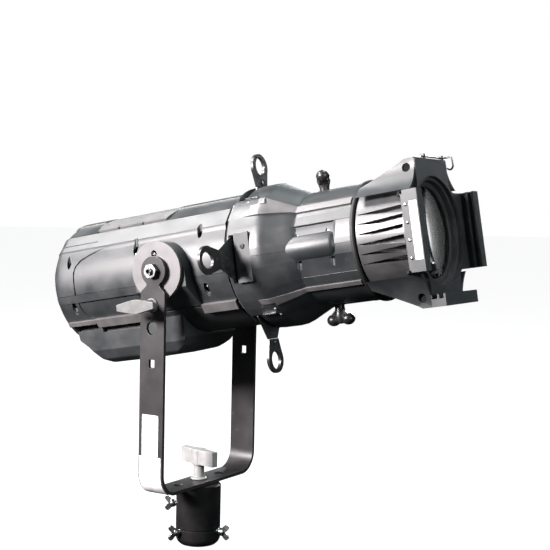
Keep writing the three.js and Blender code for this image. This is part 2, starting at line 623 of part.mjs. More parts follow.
function focusKnob(side, turn) {
  const wing = new THREE.Shape();
  wing.moveTo(-5, 80);
  wing.lineTo(5, 80);
  wing.quadraticCurveTo(8, 87, 16.5, 88.5);
  wing.quadraticCurveTo(19, 94, 15, 97.6);
  wing.lineTo(-15, 97.6);
  wing.quadraticCurveTo(-19, 94, -16.5, 88.5);
  wing.quadraticCurveTo(-8, 87, -5, 80);
  const knob = join(rodZ(3, 63, 78), rodZ(5.4, 70.5, 84), slabY(wing, -4.5, 4.5, 3).rotate([0, 0, turn]));
  return (side > 0 ? knob : knob.rotate([180, 0, 0])).translate([KNOB_PLACE, 0, 0]);
}

// Wire clip along the top of the holder, with a finger loop past its far end.
function frameLatch() {
  const [x, z] = LATCH_AXIS;
  const points = [[x, -22, z], [x, 40.4, z], [x + 2, 42, z], [x + 12, 42, z], [x + 13, 42, z - 12],
    [x + 9, 42, z - 16], [x + 4.5, 42, z - 13]];
  const path = new THREE.CurvePath();
  const places = points.map((point) => new THREE.Vector3(...point));
  for (let i = 1; i < places.length; i++) path.add(new THREE.LineCurve3(places[i - 1], places[i]));
  const wire = new THREE.Shape();
  wire.absarc(0, 0, WIRE_RADIUS, 0, 2 * Math.PI, false);
  return solidFrom(new THREE.ExtrudeGeometry(wire, { steps: 24, extrudePath: path, curveSegments: 3 }));
}

add(head, "lens_tube", lensTube(), "casting");
add(head, "frame_holder", frameHolder(), "casting");
add(head, "front_lens", planoConvex(324.3, lensBore - 1, 4, 15), "glass");
add(head, "front_lens_ring", ringX(55, lensBore - GAP, 334, 337), "casting");
add(head, "rear_lens", planoConvex(198.3, lensBore - 1, 4, 12), "glass");
add(head, "focus_knob_top", focusKnob(1, 110), "grip");
add(head, "focus_knob_bottom", focusKnob(-1, 20), "grip");
add(head, "frame_latch", frameLatch(), "zinc");

export default spotlight;
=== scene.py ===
"""Ellipsoidal spotlight: its looks, the floor, the light and the camera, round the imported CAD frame."""

import math

import bmesh
import bpy
from mathutils import Matrix, Vector
from mathutils.geometry import tessellate_polygon


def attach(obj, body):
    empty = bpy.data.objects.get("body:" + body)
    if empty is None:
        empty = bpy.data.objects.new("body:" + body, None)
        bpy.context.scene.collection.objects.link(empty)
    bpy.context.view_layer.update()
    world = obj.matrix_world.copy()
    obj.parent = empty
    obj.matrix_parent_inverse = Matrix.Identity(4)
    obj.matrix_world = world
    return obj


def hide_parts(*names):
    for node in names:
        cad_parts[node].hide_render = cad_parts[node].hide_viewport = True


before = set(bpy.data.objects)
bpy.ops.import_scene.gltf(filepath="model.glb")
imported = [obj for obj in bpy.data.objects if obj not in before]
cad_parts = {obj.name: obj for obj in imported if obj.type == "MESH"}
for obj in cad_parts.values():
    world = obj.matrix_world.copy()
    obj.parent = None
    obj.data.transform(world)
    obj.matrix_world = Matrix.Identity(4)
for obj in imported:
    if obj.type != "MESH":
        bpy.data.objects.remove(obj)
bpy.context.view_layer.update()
scene = bpy.context.scene

# ---- measures, in millimetres, as in the CAD ----
BEAM_TILT = 9.8
PIVOT_HEIGHT = 373
YOKE_HALF = 108.4
STRAP = 4.8
WEB_TOP = -285
WEB_BOTTOM = WEB_TOP - STRAP
SPLIT = 99.7  # degrees from the top down to the body's split

MM = Matrix.Scale(0.001, 4)
AT_PIVOT = Matrix.Translation((0, 0, PIVOT_HEIGHT / 1000)) @ MM
BEAM = AT_PIVOT @ Matrix.Rotation(-math.radians(BEAM_TILT), 4, "Y")
STAND = MM

# A shape's own XY plane and its depth, turned onto the part's axes.
ALONG_X = Matrix(((0, 0, 1, 0), (1, 0, 0, 0), (0, 1, 0, 0), (0, 0, 0, 1)))
ALONG_Y = Matrix(((1, 0, 0, 0), (0, 0, -1, 0), (0, 1, 0, 0), (0, 0, 0, 1)))
FAR = Matrix.Scale(-1, 4, (0, 1, 0))


# ---- meshes ----
def cleaned(bm):
    bmesh.ops.remove_doubles(bm, verts=bm.verts, dist=1e-3)
    bmesh.ops.recalc_face_normals(bm, faces=bm.faces)
    return bm


def moved(bm, matrix):
    bmesh.ops.transform(bm, matrix=matrix, verts=bm.verts)
    if matrix.determinant() < 0:
        bmesh.ops.reverse_faces(bm, faces=bm.faces)
    return bm


def copied(bm, matrix=None):
    twin = bm.copy()
    return moved(twin, matrix) if matrix is not None else twin


def joined(*meshes):
    out = bmesh.new()
    for bm in meshes:
        mesh = bpy.data.meshes.new("work")
        bm.to_mesh(mesh)
        bm.free()
        out.from_mesh(mesh)
        bpy.data.meshes.remove(mesh)
    return out


def both_sides(bm):
    """The mesh and its mirror image on the far side."""
    return joined(copied(bm, FAR), bm)


def with_twins(meshes):
    """Each mesh and its mirror image on the far side, kept apart, as tools are."""
    return [*(copied(bm, FAR) for bm in meshes), *meshes]


def sliced(bm, places, axis):
    """Adds an edge loop at each place along an axis, so that the mesh can be bent there."""
    for place in places:
        geometry = bm.verts[:] + bm.edges[:] + bm.faces[:]
        bmesh.ops.bisect_plane(bm, geom=geometry, plane_co=Vector(axis) * place, plane_no=axis)


def prism(outline, start, end, holes=()):
    """A straight prism over an outline in XY, from start to end along Z."""
    bm = bmesh.new()
    loops = [list(outline), *[list(hole) for hole in holes]]
    flat = [Vector((u, v, 0)) for loop in loops for u, v in loop]
    low = [bm.verts.new((p.x, p.y, start)) for p in flat]
    high = [bm.verts.new((p.x, p.y, end)) for p in flat]
    if holes:
        for a, b, c in tessellate_polygon([[Vector((u, v, 0)) for u, v in loop] for loop in loops]):
            bm.faces.new((low[a], low[b], low[c]))
            bm.faces.new((high[a], high[b], high[c]))
    else:
        bm.faces.new(low)
        bm.faces.new(high)
    first = 0
    for loop in loops:
        count = len(loop)
        for i in range(count):
            j = (i + 1) % count
            bm.faces.new((low[first + i], low[first + j], high[first + j], high[first + i]))
        first += count
    return cleaned(bm)


def prism_x(outline, start, end, holes=()):
    """A prism along the beam over an outline of (y, z) points."""
    return moved(prism(outline, start, end, holes), ALONG_X)


def prism_y(outline, start, end, holes=()):
    """A prism across the beam over an outline of (x, z) points."""
    return moved(prism(outline, -end, -start, holes), ALONG_Y)


def rect(u0, u1, v0, v1):
    return [(u0, v0), (u1, v0), (u1, v1), (u0, v1)]


def box(x0, x1, y0, y1, z0, z1):
    return prism(rect(x0, x1, y0, y1), z0, z1)


def arc(x, y, radius, start, end, steps=8):
    return [
        (
            x + radius * math.cos(math.radians(start + (end - start) * i / steps)),
            y + radius * math.sin(math.radians(start + (end - start) * i / steps)),
        )
        for i in range(steps + 1)
    ]


def circle(x, y, radius, steps=24):
    return arc(x, y, radius, 0, 360 * (steps - 1) / steps, steps - 1)


def rounded(points, radius, steps=4):
    """An outline with each of its corners rounded; radius is one number or one for each corner."""
    out = []
    count = len(points)
    for i, point in enumerate(points):
        here = Vector(point)
        size = radius[i] if isinstance(radius, (list, tuple)) else radius
        before = (Vector(points[i - 1]) - here).normalized()
        after = (Vector(points[(i + 1) % count]) - here).normalized()
        if size <= 0 or abs(before.dot(after)) > 0.999:
            out.append(tuple(here))
            continue
        reach = size / math.tan(before.angle(after) / 2)
        first, last = here + before * reach, here + after * reach
        for k in range(steps + 1):
            t = k / steps
            out.append(tuple(first * (1 - t) ** 2 + here * 2 * t * (1 - t) + last * t * t))
    return out


def on_round(x, angle, radius):
    """A point round the X axis; the angle is in degrees, 0 at the top and 90 on the near side."""
    a = math.radians(angle)
    return (x, -radius * math.sin(a), radius * math.cos(a))


def turned(profile, sides=96):
    """A closed profile of (along, radius) points turned about X."""
    bm = bmesh.new()
    rings = [[bm.verts.new(on_round(x, 360 * i / sides, r)) for x, r in profile] for i in range(sides)]
    for i in range(sides):
        ring, following = rings[i], rings[(i + 1) % sides]
        for j in range(len(profile)):
            k = (j + 1) % len(profile)
            if profile[j][1] == 0 and profile[k][1] == 0:
                continue
            bm.faces.new((ring[j], ring[k], following[k], following[j]))
    bmesh.ops.dissolve_degenerate(bm, edges=bm.edges, dist=1e-5)
    return cleaned(bm)


def rod(start, end, radius, sides=96):
    return turned([(start, 0), (start, radius), (end, radius), (end, 0)], sides)


def lofted(bm, rows):
    """Skins a row of closed loops, all with as many points, and closes both ends."""
    count = len(rows[0])
    for row, following in zip(rows, rows[1:]):
        for k in range(count):
            m = (k + 1) % count
            bm.faces.new((row[k], row[m], following[m], following[k]))
    bm.faces.new(rows[0])
    bm.faces.new(rows[-1])


def spun(profile, matrix, sides=32):
    """A solid of revolution placed by a matrix that takes +X to its axis."""
    return moved(turned(profile, sides), matrix)


def upright(x=0.0, y=0.0, z=0.0, turn=-90.0):
    """Takes +X to +Z, or with another turn about Y to that direction."""
    return Matrix.Translation((x, y, z)) @ Matrix.Rotation(math.radians(turn), 4, "Y")


def sideways(x=0.0, y=0.0, z=0.0):
    """Takes +X to -Y, towards the near side."""
    return Matrix.Translation((x, y, z)) @ Matrix.Rotation(math.radians(-90), 4, "Z")


def shell(stations, angles, outer, inner):
    """A tube on a grid of stations along X and angles from the top, with radii from two functions."""
    bm = bmesh.new()
    full = abs(angles[-1] - angles[0] - 360) < 1e-6
    spokes = angles[:-1] if full else angles

    def grid(radius):
        return [[bm.verts.new(on_round(x, angle, radius(x, angle))) for angle in spokes] for x in stations]

    out, inn = grid(outer), grid(lambda x, angle: inner(x))
    count = len(spokes)
    last = count if full else count - 1
    for i in range(len(stations) - 1):
        for j in range(last):
            k = (j + 1) % count
            bm.faces.new((out[i][j], out[i][k], out[i + 1][k], out[i + 1][j]))
            bm.faces.new((inn[i][j], inn[i + 1][j], inn[i + 1][k], inn[i][k]))
    for i in (0, -1):
        for j in range(last):
            k = (j + 1) % count
            bm.faces.new((out[i][j], inn[i][j], inn[i][k], out[i][k]))
    if not full:
        for j in (0, -1):
            for i in range(len(stations) - 1):
                bm.faces.new((out[i][j], out[i + 1][j], inn[i + 1][j], inn[i][j]))
    return cleaned(bm)


def wrapped(bm, radius, step=4.0):
    """Bends a flat mesh round the beam: Y, in degrees from the top, goes round and Z goes out."""
    first = math.ceil(min(v.co.y for v in bm.verts) / step)
    last = math.ceil(max(v.co.y for v in bm.verts) / step)
    sliced(bm, [k * step for k in range(first, last)], (0, 1, 0))
    for v in bm.verts:
        v.co = on_round(v.co.x, v.co.y, radius + v.co.z)
    return cleaned(bm)


def work_object(bm):
    mesh = bpy.data.meshes.new("work")
    bm.to_mesh(mesh)
    bm.free()
    obj = bpy.data.objects.new("work", mesh)
    scene.collection.objects.link(obj)
    return obj


def evaluated(obj):
    """A work object's mesh after its modifiers; the object goes."""
    graph = bpy.context.evaluated_depsgraph_get()
    result = bpy.data.meshes.new_from_object(obj.evaluated_get(graph))
    old = obj.data
    bpy.data.objects.remove(obj)
    bpy.data.meshes.remove(old)
    return result


def carved(bm, *tools, operation="DIFFERENCE"):
    """Cuts the tools out of a mesh, or with another operation joins or keeps them."""
    body = work_object(bm)
    others = [work_object(tool) for tool in tools]
    for other in others:
        cut = body.modifiers.new("cut", "BOOLEAN")
        cut.operation, cut.solver, cut.object = operation, "EXACT", other
    mesh = evaluated(body)
    for other in others:
        old = other.data
        bpy.data.objects.remove(other)
        bpy.data.meshes.remove(old)
    out = bmesh.new()
    out.from_mesh(mesh)
    bpy.data.meshes.remove(mesh)
    return cleaned(out)


def wire(points, radius, sides=10):
    """A round wire along a line of points."""
    bm = bmesh.new()
    path = [Vector(p) for p in points]
    normal = None
    rings = []
    for i, point in enumerate(path):
        ahead = (path[min(i + 1, len(path) - 1)] - path[max(i - 1, 0)]).normalized()
        if normal is None:
            normal = ahead.orthogonal().normalized()
        normal = (normal - ahead * normal.dot(ahead)).normalized()
        other = ahead.cross(normal)
        rings.append([
            bm.verts.new(point + radius * (normal * math.cos(a) + other * math.sin(a)))
            for a in (2 * math.pi * k / sides for k in range(sides))
        ])
    lofted(bm, rings)
    return cleaned(bm)


def soft_path(points, radius, steps=5):
    """A line of points with its inner corners rounded."""
    path = [Vector(p) for p in points]
    out = [path[0]]
    for before, here, after in zip(path, path[1:], path[2:]):
        back, on = (before - here), (after - here)
        reach = min(radius, back.length * 0.49, on.length * 0.49)
        first, last = here + back.normalized() * reach, here + on.normalized() * reach
        for k in range(steps + 1):
            t = k / steps
            out.append(first * (1 - t) ** 2 + here * 2 * t * (1 - t) + last * t * t)
    out.append(path[-1])
    return out


def piece(name, bm, place, body, material, nodes=(), bevel=0.0, segments=2, sharp=40):
    """A finished piece: bevelled, smooth, with its material, riding on its body."""
    bmesh.ops.transform(bm, matrix=place, verts=bm.verts)
    work = work_object(bm)
    if bevel:
        edge = work.modifiers.new("bevel", "BEVEL")
        edge.width, edge.segments, edge.limit_method = bevel / 1000, segments, "ANGLE"
        edge.angle_limit = math.radians(32)
        edge.use_clamp_overlap = True
        edge.miter_outer = "MITER_ARC"
    mesh = evaluated(work)
    mesh.name = name
    mesh.materials.clear()
    mesh.materials.append(material)
    mesh.shade_smooth()
    mesh.set_sharp_from_angle(angle=math.radians(sharp))
    obj = bpy.data.objects.new(name, mesh)
    scene.collection.objects.link(obj)
    if bevel:
        even = obj.modifiers.new("normals", "WEIGHTED_NORMAL")
        even.keep_sharp = True
    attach(obj, body)
    if nodes:
        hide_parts(*nodes)
    return obj


# ---- materials ----
def nodes_of(name):
    material = bpy.data.materials.new(name)
    material.use_nodes = True
    tree = material.node_tree
    return material, tree.nodes, tree.links, tree.nodes["Principled BSDF"]


def noise(nodes, links, scale, detail=3.0, stretch=(1, 1, 1)):
    """Noise in the object's own coordinates; scale is in cycles to the metre."""
    place = nodes.new("ShaderNodeTexCoord")
    mapping = nodes.new("ShaderNodeMapping")
    mapping.inputs["Scale"].default_value = stretch
    texture = nodes.new("ShaderNodeTexNoise")
    texture.inputs["Scale"].default_value = scale
    texture.inputs["Detail"].default_value = detail
    links.new(place.outputs["Object"], mapping.inputs["Vector"])
    links.new(mapping.outputs["Vector"], texture.inputs["Vector"])
    return texture.outputs["Fac"]


def between(nodes, links, value, low, high, edges=(0.3, 0.7)):
    spread = nodes.new("ShaderNodeMapRange")
    spread.inputs["From Min"].default_value, spread.inputs["From Max"].default_value = edges
    spread.inputs["To Min"].default_value, spread.inputs["To Max"].default_value = low, high
    links.new(value, spread.inputs["Value"])
    return spread.outputs["Result"]


def finish_of(name, dark, light, roughness, metallic=0.0, specular=0.5, patch=60, grain=1500, bump=0.2,
              depth=0.00012, stretch=(1, 1, 1), scuff=0.0, scuff_colour=(0.3, 0.3, 0.3)):
    """Two tones in soft patches, uneven roughness, a fine grain in the bump and a few pale scuffs."""
    material, nodes, links, shader = nodes_of(name)
    shader.inputs["Metallic"].default_value = metallic
    shader.inputs["Specular IOR Level"].default_value = specular
    tone = nodes.new("ShaderNodeMix")
    tone.data_type = "RGBA"
    tone.inputs["A"].default_value = (*dark, 1)
    tone.inputs["B"].default_value = (*light, 1)
    cloud = noise(nodes, links, patch, 4, stretch)
    links.new(between(nodes, links, cloud, 0, 1), tone.inputs["Factor"])
    colour = tone.outputs["Result"]
    fine = noise(nodes, links, grain, 2, stretch)
    if scuff:
        marks = nodes.new("ShaderNodeMix")
        marks.data_type = "RGBA"
        marks.inputs["B"].default_value = (*scuff_colour, 1)
        links.new(colour, marks.inputs["A"])
        rubbed = noise(nodes, links, patch * 4, 6)
        links.new(between(nodes, links, rubbed, 0, scuff, (0.66, 0.8)), marks.inputs["Factor"])
        colour = marks.outputs["Result"]
    links.new(colour, shader.inputs["Base Color"])
    links.new(between(nodes, links, cloud, *roughness), shader.inputs["Roughness"])
    raise_it = nodes.new("ShaderNodeBump")
    raise_it.inputs["Strength"].default_value = bump
    raise_it.inputs["Distance"].default_value = depth
    links.new(fine, raise_it.inputs["Height"])
    links.new(raise_it.outputs["Normal"], shader.inputs["Normal"])
    return material


casting = finish_of("casting", (0.011, 0.013, 0.014), (0.02, 0.021, 0.022), (0.36, 0.5),
                    specular=0.42, patch=35, grain=1300, bump=0.35, scuff=0.25,
                    scuff_colour=(0.07, 0.065, 0.065))
# The casting's black paint made lighter: a painted highlight on the rails' and strips' facets where the light
# catches them.
rail_casting_painted_highlight = finish_of("rail_casting_painted_highlight", (0.05, 0.048, 0.048), (0.075, 0.07, 0.071), (0.36, 0.5),
                         specular=0.5, patch=60, grain=1300, bump=0.35)
# The casting's black paint made lighter: a painted sheen on the vent ribs where they catch the light.
vent_casting_painted_sheen = finish_of("vent_casting_painted_sheen", (0.08, 0.078, 0.078), (0.12, 0.115, 0.115), (0.32, 0.42),
                         specular=0.7, patch=45, grain=1300, bump=0.25)
crown_casting = finish_of("crown_casting", (0.02, 0.021, 0.022), (0.035, 0.034, 0.034), (0.34, 0.46),
                          specular=0.55, patch=40, grain=1300, bump=0.3)
strap_steel = finish_of("strap_steel", (0.011, 0.01, 0.0105), (0.018, 0.016, 0.0165), (0.36, 0.46),
                        specular=0.24, patch=30, grain=900, bump=0.15, scuff=0.35,
                        scuff_colour=(0.08, 0.07, 0.07))
pipe_steel = finish_of("pipe_steel", (0.004, 0.004, 0.0045), (0.008, 0.0075, 0.0075), (0.38, 0.5),
                       specular=0.06, patch=40, grain=1100, bump=0.08, scuff=0.15,
                       scuff_colour=(0.03, 0.03, 0.028))
wire_steel = finish_of("wire_steel", (0.05, 0.048, 0.047), (0.1, 0.096, 0.094), (0.25, 0.4), metallic=1.0)
machined = finish_of("machined", (0.06, 0.057, 0.058), (0.08, 0.076, 0.077), (0.42, 0.52), metallic=0.25,
                     patch=50, grain=2200, bump=0.06)
zinc = finish_of("zinc", (0.2, 0.205, 0.21), (0.32, 0.325, 0.33), (0.22, 0.38), metallic=1.0,
                 patch=150, grain=2500, bump=0.1)
bolt_handle_metal = finish_of("bolt_handle_metal", (0.15, 0.148, 0.146), (0.21, 0.208, 0.205),
                              (0.45, 0.58), metallic=0.1, patch=90, grain=1600, bump=0.15, scuff=0.2,
                              scuff_colour=(0.2, 0.2, 0.2))
handle_metal = finish_of("handle_metal", (0.06, 0.06, 0.059), (0.09, 0.089, 0.087), (0.5, 0.62),
                         metallic=0.1, specular=0.3, patch=90, grain=1600, bump=0.15, scuff=0.3,
                         scuff_colour=(0.16, 0.16, 0.16))
grip_plastic = finish_of("grip_plastic", (0.006, 0.006, 0.007), (0.012, 0.011, 0.011), (0.3, 0.42),
                         specular=0.4, patch=80, grain=1800, bump=0.08)
blade_steel = finish_of("blade_steel", (0.09, 0.09, 0.095), (0.16, 0.155, 0.16), (0.3, 0.45), metallic=1.0,
                        patch=120, grain=900, bump=0.05, stretch=(1, 1, 6))
rubber = finish_of("rubber", (0.005, 0.005, 0.005), (0.009, 0.009, 0.009), (0.55, 0.7),
                   specular=0.3, patch=60, grain=1500, bump=0.1)
# Near black with almost no shine: the colour of the dark inner parts, and also painted shade in the pivot
# bores and at the floors of the gussets' holes.
matte_black_and_painted_shade = finish_of("matte_black_and_painted_shade", (0.004, 0.004, 0.004), (0.008, 0.008, 0.008), (0.6, 0.8),
                        specular=0.04, patch=60, grain=1500, bump=0.1)
board_green = finish_of("board_green", (0.02, 0.09, 0.04), (0.03, 0.14, 0.06), (0.35, 0.5), patch=300)
screen_glass = finish_of("screen_glass", (0.004, 0.006, 0.008), (0.006, 0.009, 0.012), (0.06, 0.12),
                         specular=0.6, patch=20, bump=0.0)
paper = finish_of("paper", (0.33, 0.33, 0.326), (0.5, 0.5, 0.49), (0.55, 0.65), specular=0.1, patch=80,
                  grain=700, bump=0.08)
supply_tin = finish_of("supply_tin", (0.42, 0.42, 0.44), (0.5, 0.5, 0.52), (0.3, 0.42), metallic=1.0,
                       patch=60, grain=1500, bump=0.05)


def lens_glass():
    material, nodes, links, shader = nodes_of("lens_glass")
    shader.inputs["Base Color"].default_value = (0.95, 0.97, 0.97, 1)
    shader.inputs["Transmission Weight"].default_value = 1.0
    shader.inputs["IOR"].default_value = 1.5
    smear = noise(nodes, links, 40, 3)
    links.new(between(nodes, links, smear, 0.0, 0.05), shader.inputs["Roughness"])
    return material


glass = lens_glass()

NODE_LOOKS = {
    "control_board": board_green, "led_board": board_green, "fan_frame": grip_plastic,
    "fan_rotor": grip_plastic, "heat_sink": supply_tin, "power_supply": supply_tin,
    "turntable_ring": matte_black_and_painted_shade, "gate_plate_rear": matte_black_and_painted_shade, "gate_plate_front": matte_black_and_painted_shade,
    "condenser_lens": glass, "rear_lens": glass,
}
for side in ("top", "near", "bottom", "far"):
    NODE_LOOKS["shutter_blade_" + side] = blade_steel
for node, look in NODE_LOOKS.items():
    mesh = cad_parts[node].data
    mesh.materials.clear()
    mesh.materials.append(look)


# ---- small hardware ----
def screw_head(radius, height, socket=True):
    """A pan head that stands on X = 0 and points along +X."""
    head = turned([(-0.6, 0), (-0.6, radius), (height * 0.45, radius), (height * 0.8, radius * 0.82),
                   (height, radius * 0.55), (height, 0)], 20)
    if not socket:
        return head
    recess = moved(prism(circle(0, 0, radius * 0.42, 6), height * 0.35, height + 1), ALONG_X)
    return carved(head, recess)


def radial(x, angle, radius):
    """Takes +X to straight out from the beam, at a place on the body."""
    out = Vector(on_round(0, angle, 1))
    turn = Vector((1, 0, 0)).rotation_difference(out).to_matrix().to_4x4()
    return Matrix.Translation(Vector((x, 0, 0)) + out * radius) @ turn


# ---- body ----
REAR = -190
FRONT = 93.8
BODY_BORE = 80
RECESS = 82.8
BODY_SKIN = 85.6
RAIL_FROM, RAIL_TO = 40, 57  # degrees from the top
RAIL_CORNER = 85.9


def flat_radius(corner, low, high, angle):
    """Radius of a flat facet whose corners, at two angles from the top, lie at one radius."""
    half = math.radians((high - low) / 2)
    return corner * math.cos(half) / math.cos(math.radians(angle - (low + high) / 2))


def blend(value, points):
    """A line through (place, value) points, level beyond its ends."""
    if value <= points[0][0]:
        return points[0][1]
    for (x0, y0), (x1, y1) in zip(points, points[1:]):
        if value <= x1:
            return y0 + (y1 - y0) * (value - x0) / (x1 - x0)
    return points[-1][1]


def rear_round(x, angle=0.0):
    """How far the body draws in towards its rear edge: most along its top, least at its sides."""
    deep = blend(abs(angle), [(50, 9.5), (78, 4.0)])
    reach = max(0.0, REAR + 14 - x) / 14
    return deep * (1 - math.sqrt(max(0.0, 1 - reach * reach)))


VENT = (-131, -8)
VENT_EDGE = 34.6
RIDGE = 19  # half width, in degrees, of the raised strip along the top
RIDGE_FOOT = 22


def upper_radius(x, angle):
    a = abs(angle)
    in_vent = VENT[0] <= x <= VENT[1]
    if a <= VENT_EDGE + 0.6:
        r = 81.6 if in_vent else blend(a, [(RIDGE, 86.5), (RIDGE_FOOT, 83.9)])
    elif a < RAIL_FROM:
        r = blend(a, [(VENT_EDGE + 0.6, 83.4), (RAIL_FROM, RAIL_CORNER - 0.4)])
    elif a <= RAIL_TO:
        r = flat_radius(RAIL_CORNER, RAIL_FROM, RAIL_TO, a)
    else:
        r = blend(a, [(RAIL_TO, RAIL_CORNER), (58.2, 84.6), (60, 83.5), (62, RECESS)])
    return r - rear_round(x, a)


def mirrored(angles):
    return sorted({-a for a in angles} | set(angles))


BODY_STATIONS = [REAR, -189, -187, -184, -180.5, -176, -150, VENT[0] - 0.3, VENT[0], VENT[1], VENT[1] + 0.3,
                 50, FRONT]
UPPER_ANGLES = mirrored([0, 6, 12, RIDGE, RIDGE_FOOT, 28, VENT_EDGE + 0.6, 37.5, RAIL_FROM - 0.3, RAIL_FROM,
                         48.5, RAIL_TO, 58.2, 60, 62, 67, 72, 77, 82, 87, 92, 96, SPLIT - 0.15])


def pocket_tool(x, z, radius=4.0, down=9.5, up=22):
    """A screw pocket: an upright hole whose side breaks through the round of the body."""
    centre = math.sqrt(RECESS ** 2 - z * z)
    return prism(circle(x, -centre, radius, 20), z - down, z + up)


def pocket_screw(x, z, down=9.5):
    centre = math.sqrt(RECESS ** 2 - z * z)
    return moved(screw_head(3.0, 2.2), upright(x, -centre + 0.4, z - down))


UPPER_POCKETS = [(-162, 29), (-49, 36), (54, 42)]
LOWER_POCKETS = [(-162, -29), (57, -33)]


def ear(outline, tools, thickness=1.7):
    """A raised panel at the body's rear corner, on its side; the outline is (along, degrees)."""
    bm = wrapped(prism(outline, 0, thickness + 0.8), RECESS - 0.8)
    sliced(bm, (-187.5, -185, -182, -178, -172), (1, 0, 0))
    for v in bm.verts:
        r = math.hypot(v.co.y, v.co.z)
        angle = math.degrees(math.atan2(-v.co.y, v.co.z))
        k = (r - rear_round(v.co.x, angle)) / r
        v.co.y *= k
        v.co.z *= k
    return both_sides(carved(bm, *tools))


def rail_groove():
    """The fine line along the rail's rear part."""
    return wrapped(prism(rect(-186, -119, 50.4, 51.2), -1.2, 8), 85)


def body_inner(x):
    return BODY_BORE - rear_round(x) * 0.7


def upper_body():
    form = shell(BODY_STATIONS, UPPER_ANGLES, upper_radius, body_inner)
    return carved(form, *with_twins([pocket_tool(x, z) for x, z in UPPER_POCKETS] + [rail_groove()]))


def upper_ears():
    edge = [(REAR + 0.4, RAIL_TO + 0.5), (-92, RAIL_TO + 0.5), (-112, RAIL_TO + 3), (-130, RAIL_TO + 7),
            (-143, RAIL_TO + 11), (-151, RAIL_TO + 16), (-154.5, RAIL_TO + 22), (-155, SPLIT - 0.15),
            (REAR + 0.4, SPLIT - 0.15)]
    return ear(edge, [pocket_tool(*UPPER_POCKETS[0])])


def vent_grille():
    """Ribbed panels: sawtooth ribs across the beam, with a slanted gap between the panels."""
    panels = []
    panel_count = 3
    pitch = 4.1
    foot = 83.2  # radius at the bottom of the ribs
    panel_gap = 3.2
    slant = 0.3  # millimetres along the beam to a degree round it
    across = 16  # steps round the beam
    length = (VENT[1] - VENT[0]) / panel_count
    for index in range(panel_count):
        start = VENT[0] + index * length + panel_gap / 2
        end = VENT[0] + (index + 1) * length - panel_gap / 2
        count = int((end - start) / pitch)
        step = (end - start) / count
        profile = [(start, -2.0)]
        for k in range(count):
            x = start + k * step
            profile += [(x + 0.15, 0.8), (x + step * 0.3, 2.6), (x + step * 0.36, 2.6),
                        (x + step * 0.97, 0.9)]
        profile.append((end, -2.0))
        bm = bmesh.new()
        rows = []
        for k in range(across + 1):
            angle = -VENT_EDGE + 2 * VENT_EDGE * k / across
            lean = slant * (VENT_EDGE / 2 - abs(angle))
            places = [(min(max(x + lean, VENT[0] + 0.2), VENT[1] - 0.2), h) for x, h in profile]
            rows.append([bm.verts.new(on_round(x, angle, foot + h)) for x, h in places])
        lofted(bm, rows)
        bmesh.ops.dissolve_degenerate(bm, edges=bm.edges, dist=1e-3)
        panels.append(cleaned(bm))
    return joined(*panels)


RAIL_SECTION_FRONT = [(-71.2, -50.5), (-65.5, -61.5), (-57, -57), (-63, -46)]  # (y, z)
RAIL_SECTION_REAR = [(-71.2, -50.5), (-68.2, -56.4), (-58, -52), (-63, -46)]


def lower_radius(x, angle):
    """The skin's step under the split ends just in front of the tilt boss."""
    a = angle if angle <= 180 else 360 - angle
    skin = BODY_SKIN - 0.6 if x < 50 else RECESS
    r = blend(a, [(106.8, skin), (107.2, RECESS), (127, RECESS), (129, 84.5)])
    return r - rear_round(x, a)


LOWER_HALF = [SPLIT + 0.2, 103, 106.8, 107.2, 112, 117, 122, 127, 129, 134, 141, 148, 156, 164, 172, 180]
LOWER_ANGLES = sorted(set(LOWER_HALF) | {360 - a for a in LOWER_HALF})
POD_SLOTS = [(-178, -137, -63.4, -57.4), (-133, -62, -68, -62.6)]  # dark slots under the rails


def slot_tools():
    return both_sides(joined(*[box(x0, x1, -90, -54.5, z0, z1) for x0, x1, z0, z1 in POD_SLOTS]))


def lower_body():
    form = shell(BODY_STATIONS, LOWER_ANGLES, lower_radius, body_inner)
    tools = [pocket_tool(x, z, down=22, up=9.5) for x, z in LOWER_POCKETS]
    return carved(form, *with_twins(tools), slot_tools())


def lower_ears():
    edge = [(REAR + 0.4, 106.5), (-153, 106.5), (-153, 112), (-150, 118), (-143, 123.5), (-133, 127),
            (-120, 128.6), (REAR + 0.4, 128.6)]
    return ear(edge, [pocket_tool(*LOWER_POCKETS[0], down=22, up=9.5)], 1.5)


def lower_rails():
    return both_sides(joined(prism_x(RAIL_SECTION_REAR, -184, -135.5),
                             prism_x(RAIL_SECTION_FRONT, -135.6, -41),
                             prism_x(RAIL_SECTION_FRONT, 41, FRONT)))


piece("body_upper_casting", upper_body(), BEAM, "head", casting, ["upper_shell"], bevel=0.5)
piece("body_upper_ears", upper_ears(), BEAM, "head", casting, bevel=0.9, segments=3)
# The vent ribs take the lighter paint as a painted sheen.
piece("body_vent_panels", vent_grille(), BEAM, "head", vent_casting_painted_sheen, ["top_grille"],
      sharp=20)
piece("body_lower_casting", lower_body(), BEAM, "head", casting, ["lower_shell"], bevel=0.5)
piece("body_lower_ears", lower_ears(), BEAM, "head", casting, bevel=0.9, segments=3)
# The lower rails take the lighter paint as a painted highlight.
piece("body_lower_rails", lower_rails(), BEAM, "head", rail_casting_painted_highlight, bevel=0.6)
piece("body_pocket_screws",
      both_sides(joined(*[pocket_screw(x, z) for x, z in UPPER_POCKETS])),
      BEAM, "head", zinc)


# ---- driver pod ----
POD_BOTTOM = -110.5


